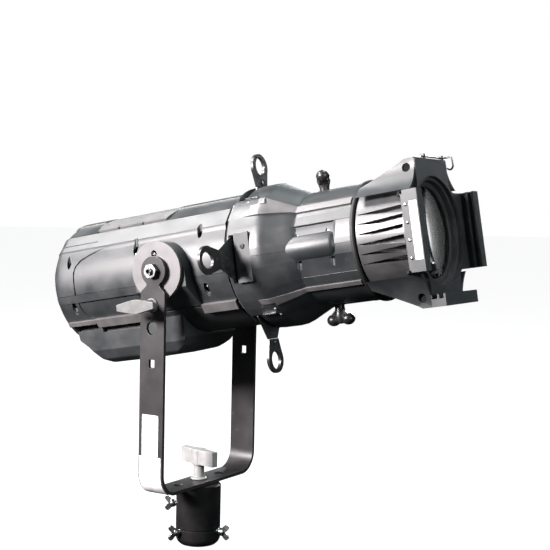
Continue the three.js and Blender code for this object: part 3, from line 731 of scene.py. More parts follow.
def pod():
    section = [(-60.8, -58), (-58, -92), (-52.5, -104.5), (-43, POD_BOTTOM), (43, POD_BOTTOM),
               (52.5, -104.5), (58, -92), (60.8, -58)]
    section = rounded(section, [0, 6, 8, 8, 8, 8, 6, 0], 4)
    along = [(-178, -58), (-176, -76), (-163, -86), (-146, -104), (-134, POD_BOTTOM), (-60, POD_BOTTOM),
             (-24, -107.6), (-6, -99), (1, -88), (4, -58)]
    along = rounded(along, [0, 4, 8, 10, 12, 14, 14, 10, 5, 0], 4)
    solid = carved(prism_x(section, -200, 30), prism_y(along, -80, 80), operation="INTERSECT")
    return carved(solid, rod(-300, 100, 84.8, 64), slot_tools())


piece("driver_pod", pod(), BEAM, "head", casting, ["pod_cover"], bevel=0.8)


# ---- rear cover and its controls ----
COVER_FACE = -186.4
BUTTONS = (-24, -8, 8, 24)
BUTTON_HEIGHT = 8
SOCKETS = {"data_inlet": (-20, -17), "data_outlet": (20, -17),
           "power_inlet": (-20, -51), "power_outlet": (20, -51)}


def rear_cover():
    disc = turned([(-183, 0), (-183, 78), (-185, 78), (COVER_FACE, 75.5), (COVER_FACE, 0)], 72)
    window = box(-200, -170, -25, 25, 20, 44)
    sockets = [prism_x(circle(y, z, 12, 28), -200, -170) for y, z in SOCKETS.values()]
    buttons = [prism_x(circle(y, BUTTON_HEIGHT, 3.9, 16), -200, -170) for y in BUTTONS]
    return carved(disc, window, *sockets, *buttons)


def rear_fins():
    """Cooling fins on the rear cover, either side of the controls."""
    fins = []
    for side in (-1, 1):
        for k in range(6):
            y = side * (38 + k * 6.2)
            half = math.sqrt(74 ** 2 - y * y) - 3
            fins.append(box(COVER_FACE - 3, COVER_FACE + 0.5, y - 1.2, y + 1.2, -half, half))
    return joined(*fins)


def socket_shell(y, z):
    """A round socket in a square plate with a screw in two of its corners."""
    outline = rounded(rect(y - 12.8, y + 12.8, z - 15.3, z + 15.3), 3)
    plate = prism_x(outline, COVER_FACE - 2.2, COVER_FACE + 0.2, [circle(y, z, 9, 28)])
    place = Matrix.Translation((0, y, z))
    tube = moved(turned([(-188.4, 9), (-188.4, 11.4), (-163, 11.4), (-163, 9)], 28), place)
    floor = moved(rod(-166, -163.2, 9.2, 28), place)
    screws = [moved(screw_head(1.6, 1.1), Matrix.Translation((COVER_FACE - 2.2, y + sy, z + sz))
                    @ Matrix.Rotation(math.pi, 4, "Z")) for sy, sz in ((-9.6, 12), (9.6, -12))]
    return joined(plate, tube, floor, *screws)


piece("rear_cover_casting", rear_cover(), BEAM, "head", casting, ["rear_cover"], bevel=0.5)
piece("rear_cover_fins", rear_fins(), BEAM, "head", casting, bevel=0.5)
piece("display_screen", box(-186.9, -183.2, -24.6, 24.6, 20.4, 43.6), BEAM, "head", screen_glass,
      ["display_window"], bevel=0.6)
for name, (y, z) in SOCKETS.items():
    piece(name + "_socket", socket_shell(y, z), BEAM, "head", grip_plastic, [name],
          bevel=0.4)
for index, y in enumerate(BUTTONS, 1):
    cap = turned([(-180.2, 0), (-180.2, 3.4), (-188, 3.4), (-188.8, 2.6), (-188.8, 0)], 24)
    cap = moved(cap, Matrix.Translation((0, y, BUTTON_HEIGHT)))
    piece(f"menu_button_cap_{index}", cap, BEAM, f"menu_button_{index}",
          rubber, [f"menu_button_{index}"])


# ---- tilt bosses, discs and pivots ----
DISC = 38
PIVOT_HOLE = 5.4


def boss():
    """An arch-shaped boss that slopes back to the body below the tilt disc."""
    arch = [(-40, -50), (40, -50), *arc(0, -3, 40, 0, 180, 32)]
    block = prism_y(arch, -96.5, -60)
    core = rod(-60, 60, RECESS + 0.2, 64)
    slope = prism_x([(-120, -8), (-97, -24), (-70, -49), (-70, -90), (-120, -90)], -60, 60)
    return carved(block, core, slope, prism_y(circle(0, 0, PIVOT_HOLE, 24), -100, -50))


def disc():
    """The tilt disc, with a sunk round slot above its centre."""
    holes = [circle(0, 0, PIVOT_HOLE, 24), circle(0, 22, 4.4, 24)]
    return prism_y(circle(0, 0, DISC, 96), -101.9, -97, holes)


SIDES = {"near": Matrix.Identity(4), "far": Matrix.Rotation(math.pi, 4, "Z")}
TO_Y = Matrix.Rotation(math.pi / 2, 4, "Z")
for name, turn in SIDES.items():
    piece("tilt_boss_casting_" + name, moved(boss(), turn), BEAM, "head", casting,
          ["tilt_boss_" + name], bevel=0.8)
    piece("tilt_disc_plate_" + name, moved(disc(), turn), BEAM, "head", machined,
          ["tilt_disc_" + name], bevel=0.35)
    lug = moved(screw_head(2.7, 3.4), sideways(0, -98.4, 21.6))
    piece("tilt_disc_screw_" + name, moved(lug, turn), BEAM, "head", zinc)
    shaft = spun([(-84, 0), (-84, 5), (-108, 5), (-108.5, 4.6), (-118.6, 4.6), (-119.3, 4.0), (-119.3, 2.7),
                  (-110, 2.7), (-110, 0)], TO_Y, 28)
    piece("pivot_shaft_" + name, moved(shaft, turn), BEAM, "head", zinc,
          ["pivot_bolt_" + name])
    # A black plug down in the shaft's bore: painted shade in the hole.
    core = moved(rod(-113.2, -109.5, 2.6, 20), TO_Y)
    piece("pivot_bore_shade_" + name, moved(core, turn), BEAM, "head", matte_black_and_painted_shade)
    nut = carved(prism_y(circle(0, 0, 9.8, 6), -115.4, -108.9, [circle(0, 0, 4.75, 24)]),
                 spun([(-116, 0), (-116, 8.6), (-115.4, 8.9), (-112.5, 12), (-108, 12), (-108, 0)], TO_Y, 48),
                 operation="INTERSECT")
    piece("pivot_lock_nut_" + name, moved(nut, turn), BEAM, "head", zinc, ["pivot_nut_" + name],
          bevel=0.4)


# ---- yoke ----
BEND = 30
LOCK = -43.5  # height of the tilt lock, from the pivot
LOCK_BAR_TURN = 6.7  # degrees off level


def yoke():
    """A flat bar bent to a U, with a round head and a waist at the top of each arm."""
    half = 19.05
    inner = BEND - STRAP
    u = [(-YOKE_HALF, 30), *arc(-YOKE_HALF + BEND, WEB_BOTTOM + BEND, BEND, 180, 270, 16),
         *arc(YOKE_HALF - BEND, WEB_BOTTOM + BEND, BEND, 270, 360, 16),
         (YOKE_HALF, 30), (YOKE_HALF - STRAP, 30),
         *arc(YOKE_HALF - BEND, WEB_BOTTOM + BEND, inner, 360, 270, 16),
         *arc(-YOKE_HALF + BEND, WEB_BOTTOM + BEND, inner, 270, 180, 16), (-YOKE_HALF + STRAP, 30)]
    strap = prism_x(u, -half, half)
    head = [(-half, WEB_BOTTOM - 2), (half, WEB_BOTTOM - 2), (half, -27.5), (9.8, -18.2),
            *arc(0, 0, half, -56, 236, 40), (-9.8, -18.2), (-half, -27.5)]
    strap = carved(strap, prism_y(head, -120, 120), operation="INTERSECT")
    across = (-130, 130)
    tools = [prism_y(circle(0, 0, 5.5, 28), *across), prism_y(circle(0, LOCK, 4.5, 20), -130, 0),
             prism_y(circle(0, -73, 8.75, 32), *across), prism_y(rect(-4.3, 4.3, -123.2, -112.8), *across)]
    web = (WEB_BOTTOM - 5, WEB_TOP + 5)
    tools += [prism(circle(0, 0, 6.6, 24), *web), prism(circle(0, -45.8, 7, 28), *web),
              prism(circle(0, 45.8, 7, 28), *web)]
    return carved(strap, *tools)


def labels_on_arm():
    """A blank label on the near arm's outer face, and a wider one below it that wraps round the bend."""
    tall = prism_y(rounded(rect(-13.5, 12, -236.5, -183.5), 1.5), -YOKE_HALF - 0.3, -YOKE_HALF + 0.05)
    outer = arc(-YOKE_HALF + BEND, WEB_BOTTOM + BEND, BEND + 0.22, 180, 240, 14)
    inner = arc(-YOKE_HALF + BEND, WEB_BOTTOM + BEND, BEND - 0.05, 240, 180, 14)
    bend = [(-YOKE_HALF - 0.22, -237.2), *outer, *inner, (-YOKE_HALF + 0.05, -237.2)]
    return joined(tall, prism_x(bend, -17.5, 16.5))


def t_bar(reach, tip, middle, flat, low, high):
    """A bar that is thickest at its middle; tip and middle are half its thickness."""
    outline = [(-reach, -tip), (-flat, -middle), (flat, -middle), (reach, -tip), (reach, tip), (flat, middle),
               (-flat, middle), (-reach, tip)]
    return prism(outline, low, high)


piece("yoke_bar", yoke(), AT_PIVOT, "yoke", strap_steel, ["yoke_strap"], bevel=0.6)
piece("yoke_labels", labels_on_arm(), AT_PIVOT, "yoke", paper)

bolt_turn = Matrix.Rotation(math.radians(-14.5), 4, "Z")
bolt = joined(t_bar(32.4, 4.6, 7.4, 9, WEB_TOP + 21, WEB_TOP + 41),
              spun([(WEB_TOP + 0.4, 0), (WEB_TOP + 0.4, 11), (WEB_TOP + 2.6, 11), (WEB_TOP + 3.4, 7.4),
                    (WEB_TOP + 22, 7), (WEB_TOP + 22, 0)], upright(), 32),
              spun([(WEB_TOP + 19, 0), (WEB_TOP + 19, 8.4), (WEB_TOP + 21, 9.6), (WEB_TOP + 40.4, 9.6),
                    (WEB_TOP + 41.6, 8.6), (WEB_TOP + 41.6, 0)], upright(), 32))
piece("yoke_bolt_handle", moved(bolt, bolt_turn), AT_PIVOT, "yoke_bolt", bolt_handle_metal,
      ["yoke_bolt"], bevel=0.9, segments=3)
stud = moved(rod(WEB_BOTTOM - 10.5, WEB_TOP + 1, 5.6, 24), upright())
piece("yoke_bolt_stud", stud, AT_PIVOT, "yoke_bolt", zinc)

LOCK_BAR = [(-29, -4), (-3, -9), (3, -9), (29, -4), (29, 4), (3, 9), (-3, 9), (-29, 4)]
lock_bar = prism_y(LOCK_BAR, -144.9, -138.6)
moved(lock_bar, Matrix.Translation((0, 0, LOCK)) @ Matrix.Rotation(math.radians(-LOCK_BAR_TURN), 4, "Y"))
lock = joined(lock_bar,
              spun([(108.8, 0), (108.8, 9.3), (110.8, 9.3), (111.4, 7.4), (139.4, 7.4), (139.4, 0)],
                   sideways(0, 0, LOCK), 32))
piece("tilt_lock_bar", lock, AT_PIVOT, "tilt_lock", handle_metal, ["tilt_lock_handle"],
      bevel=0.8, segments=3)
lock_stud = moved(rod(98.5, 110, 3.9, 20), sideways(0, 0, LOCK))
piece("tilt_lock_stud", lock_stud, AT_PIVOT, "tilt_lock", zinc)
jaw = carved(box(-10.8, 10.8, -103.2, -97.1, -54.8, -33.2), prism_y(circle(0, 0, DISC + 0.4, 96), -110, -90),
             prism_y(circle(0, LOCK, 4.4, 20), -110, -90))
piece("tilt_jaw_block", jaw, AT_PIVOT, "yoke", strap_steel, ["tilt_clamp_jaw"], bevel=0.6)


# ---- stand adapter ----
SLEEVE_TOP = PIVOT_HEIGHT + WEB_BOTTOM - 0.3
SLEEVE = 30.1
SCREWS = [(247.7, 20), (7.7, 20), (127.7, 20), (202, 53)]  # (angle, height)


def sleeve():
    """A pipe drawn in at its lower end, with a groove round it and a hole for each wing screw."""
    body = spun([(0.2, 18.3), (0.2, 20.5), (1.4, 24.2), (4.4, 27.6), (7.4, 29.2), (10.4, SLEEVE),
                 (21.6, SLEEVE), (22.3, SLEEVE - 0.9), (23.5, SLEEVE - 0.9), (24.2, SLEEVE),
                 (SLEEVE_TOP - 1.6, SLEEVE), (SLEEVE_TOP, SLEEVE - 1.6),
                 (SLEEVE_TOP, 6.4), (SLEEVE_TOP - 12, 6.4), (SLEEVE_TOP - 12, 18.3)], upright(), 72)
    tools = [moved(prism(circle(0, 0, 4.4, 20), 10, 40), Matrix.Translation((0, 0, height))
                   @ Matrix.Rotation(math.radians(angle), 4, "Z") @ Matrix.Rotation(math.pi / 2, 4, "Y"))
             for angle, height in SCREWS]
    return carved(body, *tools)


def wing(side):
    """One wing of a wing screw: a flat blade with a round end, thickest at its root."""
    blade = prism_y(rounded([(-2, -3.2), (8, -3.8), (12.6, -3.2), (12.6, 3.2), (8, 3.8), (-2, 3.2)],
                            [0, 2, 3, 3, 2, 0]), -1.5, 1.5)
    for v in blade.verts:
        v.co.y *= 1.25 - 0.045 * max(v.co.x, 0)
    return moved(blade, Matrix.Translation((36.6, 0, 0)) @ Matrix.Rotation(math.radians(side * 47), 4, "Y"))


def wing_screw():
    """A screw along +X with its thread as rings, a hub and two wings."""
    pitch = 1.2
    thread = [(18.8, 0), (18.8, 3.2)]
    for k in range(11):
        thread += [(19.6 + k * pitch, 3.95), (20.2 + k * pitch, 3.3)]
    thread += [(33, 3.9), (33, 0)]
    hub = turned([(32.6, 0), (32.6, 4.6), (34, 5.4), (37.4, 5.4), (39, 4.2), (39.4, 0)], 28)
    return joined(turned(thread, 24), hub, wing(1), wing(-1))


piece("stand_pipe_sleeve", sleeve(), STAND, "stand", pipe_steel, ["stand_sleeve"], bevel=0.35)
for index, (angle, height) in enumerate(SCREWS, 1):
    place = Matrix.Translation((0, 0, height)) @ Matrix.Rotation(math.radians(angle), 4, "Z")
    piece(f"wing_screw_zinc_{index}", moved(wing_screw(), place), STAND, f"wing_screw_{index}", zinc,
          [f"wing_screw_{index}"], bevel=0.35)

# ---- shutter barrel ----
BARREL_REAR, BARREL_FRONT = 98.2, 266.8
BORE = 69
RING_FACE = 72.5  # the barrel's round, in front of the cone
HUMP = 91.6
PROFILE = [(98.2, 86.2), (104, HUMP), (143, HUMP), (147, 91.2), (152, 89.6), (158, 86.8), (184, 75.4),
           (187.5, 73.2), (190, RING_FACE)]
CONE = (150, 187)
UPPER_STRIP = ((40, 57), (44, 52))  # its edges on the hump and on the barrel, in degrees from the top
LOWER_STRIP = ((126, 134), (129, 134))


def barrel_radius(x, angle):
    """Round on the hump and the cone, with three flats on each side of the barrel in front of them."""
    a = abs(angle - 360 if angle > 180 else angle)
    base = blend(x, PROFILE)
    if x > CONE[1] + 2:
        if 67 <= a <= 84 and x < 246:
            return flat_radius(base - 0.5 - 3 * (84 - a) / 17, 67, 84, a)
        if 57 < a < 67:
            return flat_radius(base + 0.4, 57, 67, a)
        if 100 <= a <= 118:
            return flat_radius(base - 0.3, 100, 118, a)
    return base


def strip(edges, stations):
    """A flat raised strip that narrows as it runs down the cone onto the barrel."""
    (low_rear, high_rear), (low_front, high_front) = edges
    bm = bmesh.new()
    rows = []
    for x in stations:
        share = min(max((x - CONE[0]) / (CONE[1] - CONE[0]), 0.0), 1.0)
        low, high = low_rear + (low_front - low_rear) * share, high_rear + (high_front - high_rear) * share
        base = blend(x, PROFILE)
        proud = 1.0 + 0.9 * share + base * (1 / math.cos(math.radians((high - low) / 2)) - 1)
        corners = ((low, base - 3), (low, base + proud), (high, base + proud), (high, base - 3))
        rows.append([bm.verts.new(on_round(x, angle, radius)) for angle, radius in corners])
    lofted(bm, rows)
    return cleaned(bm)


def barrel_inner(x):
    if x < 124:
        return 80.2
    if x < 150:
        return 87.6
    if x < 185:
        return 87.6 - (x - 150) / 35 * 18.4
    return BORE


BARREL_STATIONS = [BARREL_REAR, 99, 101, 104, 123.9, 124.1, 135, 143, 147, 150, 152, 155, 158, 165, 171, 177,
                   184, 187.5, 190, 191, 215, 240, 246, 248, 266, BARREL_FRONT]
BARREL_HALF = [0, 7, 14, 21, 28, 34, 39.6, 40, 44, 48.5, 53, 57, 57.4, 62, 66.8, 67, 72, 78, 84, 84.2, 88, 92,
               96, 99.8, 100, 106, 112, 118, 118.3, 122, 125.6, 126, 130, 134, 134.4, 141, 149, 157, 165, 173,
               180]
HALF_JOINT = 90 - 0.12
BLADE_SLOT = (106.2, 118.7)


def barrel_casting(upper):
    """One half of the barrel, with the shutters' slots, the focus slot and its screw pockets."""
    if upper:
        angles = mirrored([a for a in BARREL_HALF if a < HALF_JOINT] + [HALF_JOINT])
    else:
        base = [180 - HALF_JOINT] + [a for a in BARREL_HALF if a > 180 - HALF_JOINT]
        angles = sorted(set(base) | {360 - a for a in base})
    form = shell(BARREL_STATIONS, angles, barrel_radius, barrel_inner)
    tools = [box(*BLADE_SLOT, -56, 56, 50, 120) if upper else box(*BLADE_SLOT, -56, 56, -120, -50),
             box(*BLADE_SLOT, -120, 120, -30, 30), box(195, 252, -6, 6, -100, 100)]
    side_plate = box(115, 137, -120, -88.6, -32, 32)
    tools += [side_plate, copied(side_plate, FAR)]
    rows = [(192, 20), (235, 21)] if upper else [(192, -18), (238, -18)]
    for x, z in rows:
        hole = prism(circle(x, -math.sqrt(RING_FACE ** 2 - z * z) - 0.5, 4.0, 20),
                     z - (4 if upper else 7), z + (7 if upper else 4))
        tools += [copied(hole, FAR), hole]
    return carved(form, *tools)


STRIP_STATIONS = [143, 147, 152, 155, 158, 165, 175, 184, 187.5, 190, 265.5]


def barrel_strips():
    """The raised strips over the hump, the cone and the barrel, with a sunk nest beside each clip."""
    upper = carved(strip(UPPER_STRIP, [100, *STRIP_STATIONS]),
                   wrapped(prism(rect(126, 141, 38.5, 45.5), -1.5, 8), HUMP))
    lower = carved(strip(LOWER_STRIP, [100, *STRIP_STATIONS]),
                   wrapped(prism(rect(131, 150, 131, 141), -1.5, 8), HUMP))
    return both_sides(joined(upper, lower))


def barrel_swelling():
    """The long half round along the barrel's side, between the two rows of screws."""
    form = spun([(153, 0), (153, 10), (156, 15), (162, 18), (170, 19), (239, 19), (243, 17.4), (245.4, 13),
                 (246, 8), (246, 0)], Matrix.Translation((0, -58.4, 1)), 56)
    return both_sides(carved(form, rod(100, 300, 71.4)))


piece("barrel_upper_casting", barrel_casting(True), BEAM, "barrel", casting,
      ["barrel_upper"], bevel=0.5)
piece("barrel_lower_casting", barrel_casting(False), BEAM, "barrel", casting,
      ["barrel_lower"], bevel=0.5)
piece("barrel_side_swellings", barrel_swelling(), BEAM, "barrel", casting)
# The raised strips take the lighter paint as a painted highlight.
piece("barrel_raised_strips", barrel_strips(), BEAM, "barrel", rail_casting_painted_highlight, bevel=0.4)
side_plates = joined(prism_y(rect(115.2, 136.6, -30.5, 31), -90.8, -88.2),
                     prism_y(rect(119.6, 136.6, -30.5, 31), 88.2, 90.8))
side_screws = joined(*[moved(screw_head(3.4, 1.4), sideways(127, -90.7, z)) for z in (14, -14)])
piece("barrel_side_plates", side_plates, BEAM, "barrel", casting, bevel=0.3)
piece("barrel_side_screws", both_sides(side_screws), BEAM, "barrel", strap_steel, bevel=0.2)


def clip_parts(upper):
    """Spring plates and the screws sunk beside them, which hold the barrel's castings together."""
    if upper:
        plates = [rect(118, 138, 36.6, 38.2), [(141.5, 39.5), (149, 39.5), (152, 46), (145, 46)]]
        screws = [(133, 42.2)]
    else:
        plates = [rect(124, 143, 140.5, 142)]
        screws = [(136, 136.5), (145.5, 136.8), (146, 145)]
    parts = [wrapped(prism(outline, -0.5, 1.2), 92.2) for outline in plates]
    parts += [moved(screw_head(2.7 if i == 0 else 1.8, 1.8), radial(x, a, 89.5 if i == 0 else 90.6))
              for i, (x, a) in enumerate(screws)]
    return both_sides(joined(*parts))


piece("barrel_spring_clips", joined(clip_parts(True), clip_parts(False)), BEAM, "barrel", zinc,
      bevel=0.2)
seal_ring = turned([(267.1, 69.3), (267.1, 74), (268, 74.8), (270.6, 74.8), (271.9, 73.6), (271.9, 69.3)])
piece("barrel_seal_ring", seal_ring, BEAM, "barrel", rubber, ["barrel_end_ring"])

# ---- shutters ----
# name, turn round the beam, the ring's distance from its axis, and how far the blade is off centre
SHUTTERS = [("top", 0, 118, 0), ("near", 90, 146, 0), ("bottom", 180, 130, 27), ("far", 270, 130, 0)]
BLADE_START, BLADE_PITCH = 108.7, 2.5


def shutter_ring(reach):
    """A moulded finger ring: a flat plate with an opening for a finger."""
    outline = [(-11.2, reach - 26), (11.2, reach - 26), *arc(0, reach, 17.4, -25, 205, 36)]
    finger = [(10 * math.cos(a), reach + 1 + 11.5 * math.sin(a))
              for a in (2 * math.pi * k / 36 for k in range(36))]
    return prism(outline, -1.95, 1.95, [finger])


for index, (name, turn, reach, shift) in enumerate(SHUTTERS):
    place = Matrix.Rotation(math.radians(turn), 4, "X") @ Matrix.Translation(
        (BLADE_START + index * BLADE_PITCH, shift, 0)) @ ALONG_X
    piece("shutter_ring_" + name, moved(shutter_ring(reach), place), BEAM, "shutter_" + name, grip_plastic,
          ["shutter_grip_" + name], bevel=1.1, segments=3)
    rivet = turned([(-2.35, 0), (-2.35, 2.0), (-1.9, 2.6), (1.9, 2.6), (2.35, 2.0), (2.35, 0)], 20)
    stand_off = Matrix.Rotation(math.radians(turn), 4, "X") @ Matrix.Translation(
        (BLADE_START + index * BLADE_PITCH, shift, reach - 20.5))
    piece("shutter_rivet_" + name, moved(rivet, stand_off), BEAM, "shutter_" + name, grip_plastic)

# ---- lens tube and its crown ----
TUBE = 68
CROWN = 71.5
LENS_BORE = 62
LENS_LEDGE = 57
RIB_GAPS = 6
RIB_PITCH = 9.7
KNOB_PLACE = 201


def lens_tube():
    """The tube with its ledges for the lenses, and the tapered gaps between the crown's ribs."""
    profile = [(152, LENS_BORE), (152, TUBE), (272.6, TUBE), (272.9, CROWN - 1.2), (274, CROWN), (343, CROWN),
               (343, LENS_BORE), (324, LENS_BORE), (324, 56), (320, 56), (320, LENS_BORE), (198, LENS_BORE),
               (198, LENS_LEDGE), (194, LENS_LEDGE), (194, LENS_BORE)]
    form = turned(profile, 120)
    tools = []
    for side in (90, 270):
        for i in range(RIB_GAPS):
            lean = (i - (RIB_GAPS - 1) / 2) * RIB_PITCH
            wedge = prism([(276.5, -0.4), (335.5, -4.9), (335.5, 4.9), (276.5, 0.4)], 63, 90)
            tools.append(moved(wedge, Matrix.Rotation(math.radians(side + lean), 4, "X")))
    tools.append(prism(circle(KNOB_PLACE, 0, 3.5, 20), -80, 80))
    return carved(form, joined(*tools))


piece("lens_tube_casting", lens_tube(), BEAM, "lens_carriage", crown_casting, ["lens_tube"],
      bevel=0.35)
rivets = [moved(screw_head(1.7, 1.2, False), radial(341, side * (90 + (i - 1.5) * RIB_PITCH), CROWN))
          for side in (-1, 1) for i in range(4)]
piece("crown_rivets", joined(*rivets), BEAM, "lens_carriage", zinc)

PLATE_BACK, PLATE_FRONT = 343.3, 348.3
RAIL_FRONT = 366
WIDE, ARM, TOP, BOTTOM, TALL = 89.7, 45.2, 87.2, -89, 47
FRAME_HALF, LIP = 80.3, 75
HOLE_X, HOLE_Z = 337, 76.5  # the hole in each gusset
GUSSET_TURN = 84  # height above which a gusset is upright


def holder_plate():
    """The plate across the beam: an upright arm and a wider one, with soft inner corners."""
    corner = 14
    arm, wide, top, bottom, tall = ARM - 0.3, WIDE - 5, TOP - 0.3, BOTTOM + 0.3, TALL - 0.3
    points = [(-arm, bottom), (arm, bottom), (arm, -tall), (wide, -tall), (wide, tall), (arm, tall),
              (arm, top), (-arm, top), (-arm, tall), (-wide, tall), (-wide, -tall), (-arm, -tall)]
    outline = rounded(points, [2, 2, corner, 1.5, 1.5, corner, 3, 3, corner, 1.5, 1.5, corner], 6)
    return prism_x(outline, PLATE_BACK, PLATE_FRONT, [circle(0, 0, 66, 96)])


def holder_rail():
    """The rail's section across the beam, in (along, across) points."""
    return [(PLATE_BACK + 4.4, WIDE), (RAIL_FRONT, WIDE), (RAIL_FRONT, LIP), (RAIL_FRONT - 2.5, LIP),
            (RAIL_FRONT - 2.5, FRAME_HALF), (RAIL_FRONT - 8.2, FRAME_HALF), (RAIL_FRONT - 8.2, LIP),
            (RAIL_FRONT - 10.5, LIP), (RAIL_FRONT - 10.5, FRAME_HALF), (PLATE_FRONT, FRAME_HALF),
            (PLATE_FRONT, LIP), (PLATE_BACK + 4.4, LIP)]


def frame_holder():
    """The plate, its three rails and its gussets as one mesh, and black discs at the floors of the holes, as
    painted shade, as another.
    """
    rail = prism(holder_rail(), -TALL, TALL)
    to_bottom = Matrix.Translation((0, 0, WIDE + BOTTOM)) @ Matrix.Rotation(-math.pi / 2, 4, "X")
    lower = moved(copied(rail), to_bottom)
    parts = [copied(rail, FAR), rail, lower]
    dark = []  # the floors of the gussets' holes
    for up in (1, -1):
        tip = TOP if up > 0 else BOTTOM
        side = [(276, up * 50), (277, up * 61), (284, up * 64), (330, up * abs(tip) - up * 3), (335, tip),
                (PLATE_FRONT - 1, tip), (PLATE_FRONT - 1, up * 50)]
        web = prism_y(side, -ARM, -ARM + 4, [circle(HOLE_X, up * HOLE_Z, 5.4, 24)])
        sliced(web, [up * z for z in range(53, GUSSET_TURN, 3)], (0, 0, 1))
        for v in web.verts:  # it curves out to meet the crown
            down = max(0, GUSSET_TURN - abs(v.co.z))
            v.co.y -= 18 * (down / 32) ** 2.2 if up > 0 else 12 * (down / 32) ** 2.2 + 0.2 * down
        # A black disc at each hole's floor: painted shade in the hole.
        floor = moved(rod(ARM - 1.2, ARM - 3.8, 5.9, 24), sideways(HOLE_X, 0, up * HOLE_Z))
        dark.append(both_sides(floor))
        shelf = prism([(316, 40), (PLATE_BACK + 1, WIDE - 1), (PLATE_BACK + 1, 40)],
                      min(up * TALL, up * (TALL - 3)), max(up * TALL, up * (TALL - 3)))
        parts += with_twins([web, shelf])
    for y in (-18, 34):
        parts.append(box(PLATE_BACK, PLATE_FRONT, y, y + 5, TOP - 1, 92.2))
    bore = turned([(270, 0), (270, CROWN + 0.3), (PLATE_BACK + 0.02, CROWN + 0.3), (PLATE_BACK + 0.02, 66),
                   (400, 66), (400, 0)])
    solids = [carved(part, copied(bore)) for part in parts]
    bore.free()
    return joined(holder_plate(), *solids), joined(*dark)


holder, hole_floors = frame_holder()
# The holes' floors: black discs as painted shade.
piece("front_holder_hole_shade", hole_floors, BEAM, "lens_carriage", matte_black_and_painted_shade)
piece("front_holder_casting", holder, BEAM, "lens_carriage", casting, ["frame_holder"],
      bevel=0.6)
rail_screw = moved(screw_head(1.9, 1.1, socket=False), sideways(PLATE_BACK + 7.4, -WIDE, 0))
rail_screws = joined(*[copied(rail_screw, Matrix.Translation((0, 0, z))) for z in (30, 9.5, -10.5, -31)])
piece("holder_rail_screws", both_sides(rail_screws), BEAM, "lens_carriage", zinc)
label = prism_y(rounded(rect(354.9, 364.9, -33.5, 33.5), 0.5), -WIDE - 0.25, -WIDE + 0.1)
piece("holder_label", label, BEAM, "lens_carriage", paper)


def plano_convex(rear, radius, edge, bulge, steps=14):
    """A lens with a flat rear face and a bulging front one."""
    profile = [(rear, 0), (rear, radius)]
    for i in range(steps + 1):
        share = 1 - i / steps
        profile.append((rear + edge + bulge * (1 - share * share), radius * share))
    return turned(profile, 96)


piece("front_lens_glass", plano_convex(324.4, 60.8, 4, 15), BEAM, "lens_carriage", glass,
      ["front_lens"], sharp=30)
retaining_ring = turned([(334.2, 55.5), (334.2, 61.6), (336.9, 61.6), (336.9, 57), (336, 55.5)])
piece("lens_retaining_ring", retaining_ring, BEAM, "lens_carriage", casting,
      ["front_lens_ring"])


# ---- focus knobs ----
def knob(turn):
    """A knob with two rounded wings on a stem, along +Z."""
    stem = spun([(63.2, 0), (63.2, 3), (70.8, 3), (70.8, 6.4), (76, 6.2), (80, 7.2), (84, 8.6), (90, 8.4),
                 (94, 6.4), (95.4, 3), (95.6, 0)], upright(), 40)
    steps = [math.radians(t) for t in range(0, 181, 12)]
    lobe = [(-7.6 * math.cos(t), 8.7 * math.sin(t)) for t in steps]
    web = rounded([(-6.5, 79), (6.5, 79), (13, 85.5), (13, 94), (-13, 94), (-13, 85.5)], 2, 3)
    wings = joined(prism_y(web, -5.6, 5.6), *[spun(lobe, upright(x, 0, 90.2), 32) for x in (-9.6, 9.6)])
    return joined(stem, moved(wings, Matrix.Rotation(math.radians(turn), 4, "Z")))


at_knob = Matrix.Translation((KNOB_PLACE, 0, 0))
piece("focus_knob_grip_top", moved(knob(118), at_knob), BEAM, "focus_knob_top", grip_plastic,
      ["focus_knob_top"], bevel=0.8)
piece("focus_knob_grip_bottom", moved(knob(-10), at_knob @ Matrix.Rotation(math.pi, 4, "X")), BEAM,
      "focus_knob_bottom", grip_plastic, ["focus_knob_bottom"], bevel=0.8)

# ---- colour frame clip ----
LATCH_X, LATCH_Z = 345.8, 89.6
clip = soft_path([(LATCH_X, -22, LATCH_Z), (LATCH_X, 40.4, LATCH_Z), (LATCH_X + 2, 42, LATCH_Z),
                  (LATCH_X + 12, 42, LATCH_Z), (LATCH_X + 13, 42, LATCH_Z - 12),
                  (LATCH_X + 9, 42, LATCH_Z - 16), (LATCH_X + 4.5, 42, LATCH_Z - 13)], 2.5)
piece("frame_clip_wire", wire(clip, 1.15), BEAM, "frame_latch", wire_steel, ["frame_latch"])


# ---- floor, light and camera ----
def glow(name, colour, strength, diffuse):
    """A plain surface that stays nearly white in the camera's view."""
    material, nodes, links, shader = nodes_of(name)
    shader.inputs["Base Color"].default_value = (diffuse, diffuse, diffuse, 1)
    shader.inputs["Specular IOR Level"].default_value = 0.0
    shader.inputs["Emission Color"].default_value = (*colour, 1)
    shader.inputs["Emission Strength"].default_value = strength
    links.new(between(nodes, links, noise(nodes, links, 3, 3), 0.8, 0.9), shader.inputs["Roughness"])
    return material


def staged(name, bm, material):
    """A surface round the object that the camera sees and that doesn't light it."""
    mesh = bpy.data.meshes.new(name)
    bm.to_mesh(mesh)
    bm.free()
    mesh.materials.append(material)
    mesh.shade_smooth()
    obj = bpy.data.objects.new(name, mesh)
    scene.collection.objects.link(obj)
    obj.visible_diffuse = obj.visible_glossy = obj.visible_shadow = False


LIGHT_TARGET = Vector((0.05, 0, 0.37))


def softbox(name, direction, distance, width, height, watts, colour):
    """A soft light a distance away in a direction from the object, turned to face it."""
    data = bpy.data.lights.new(name, "AREA")
    data.shape, data.size, data.size_y = "RECTANGLE", width, height
    data.energy, data.color = watts, colour
    obj = bpy.data.objects.new(name, data)
    obj.location = LIGHT_TARGET + Vector(direction).normalized() * distance
    obj.rotation_euler = (LIGHT_TARGET - obj.location).to_track_quat("-Z", "Y").to_euler()
    scene.collection.objects.link(obj)


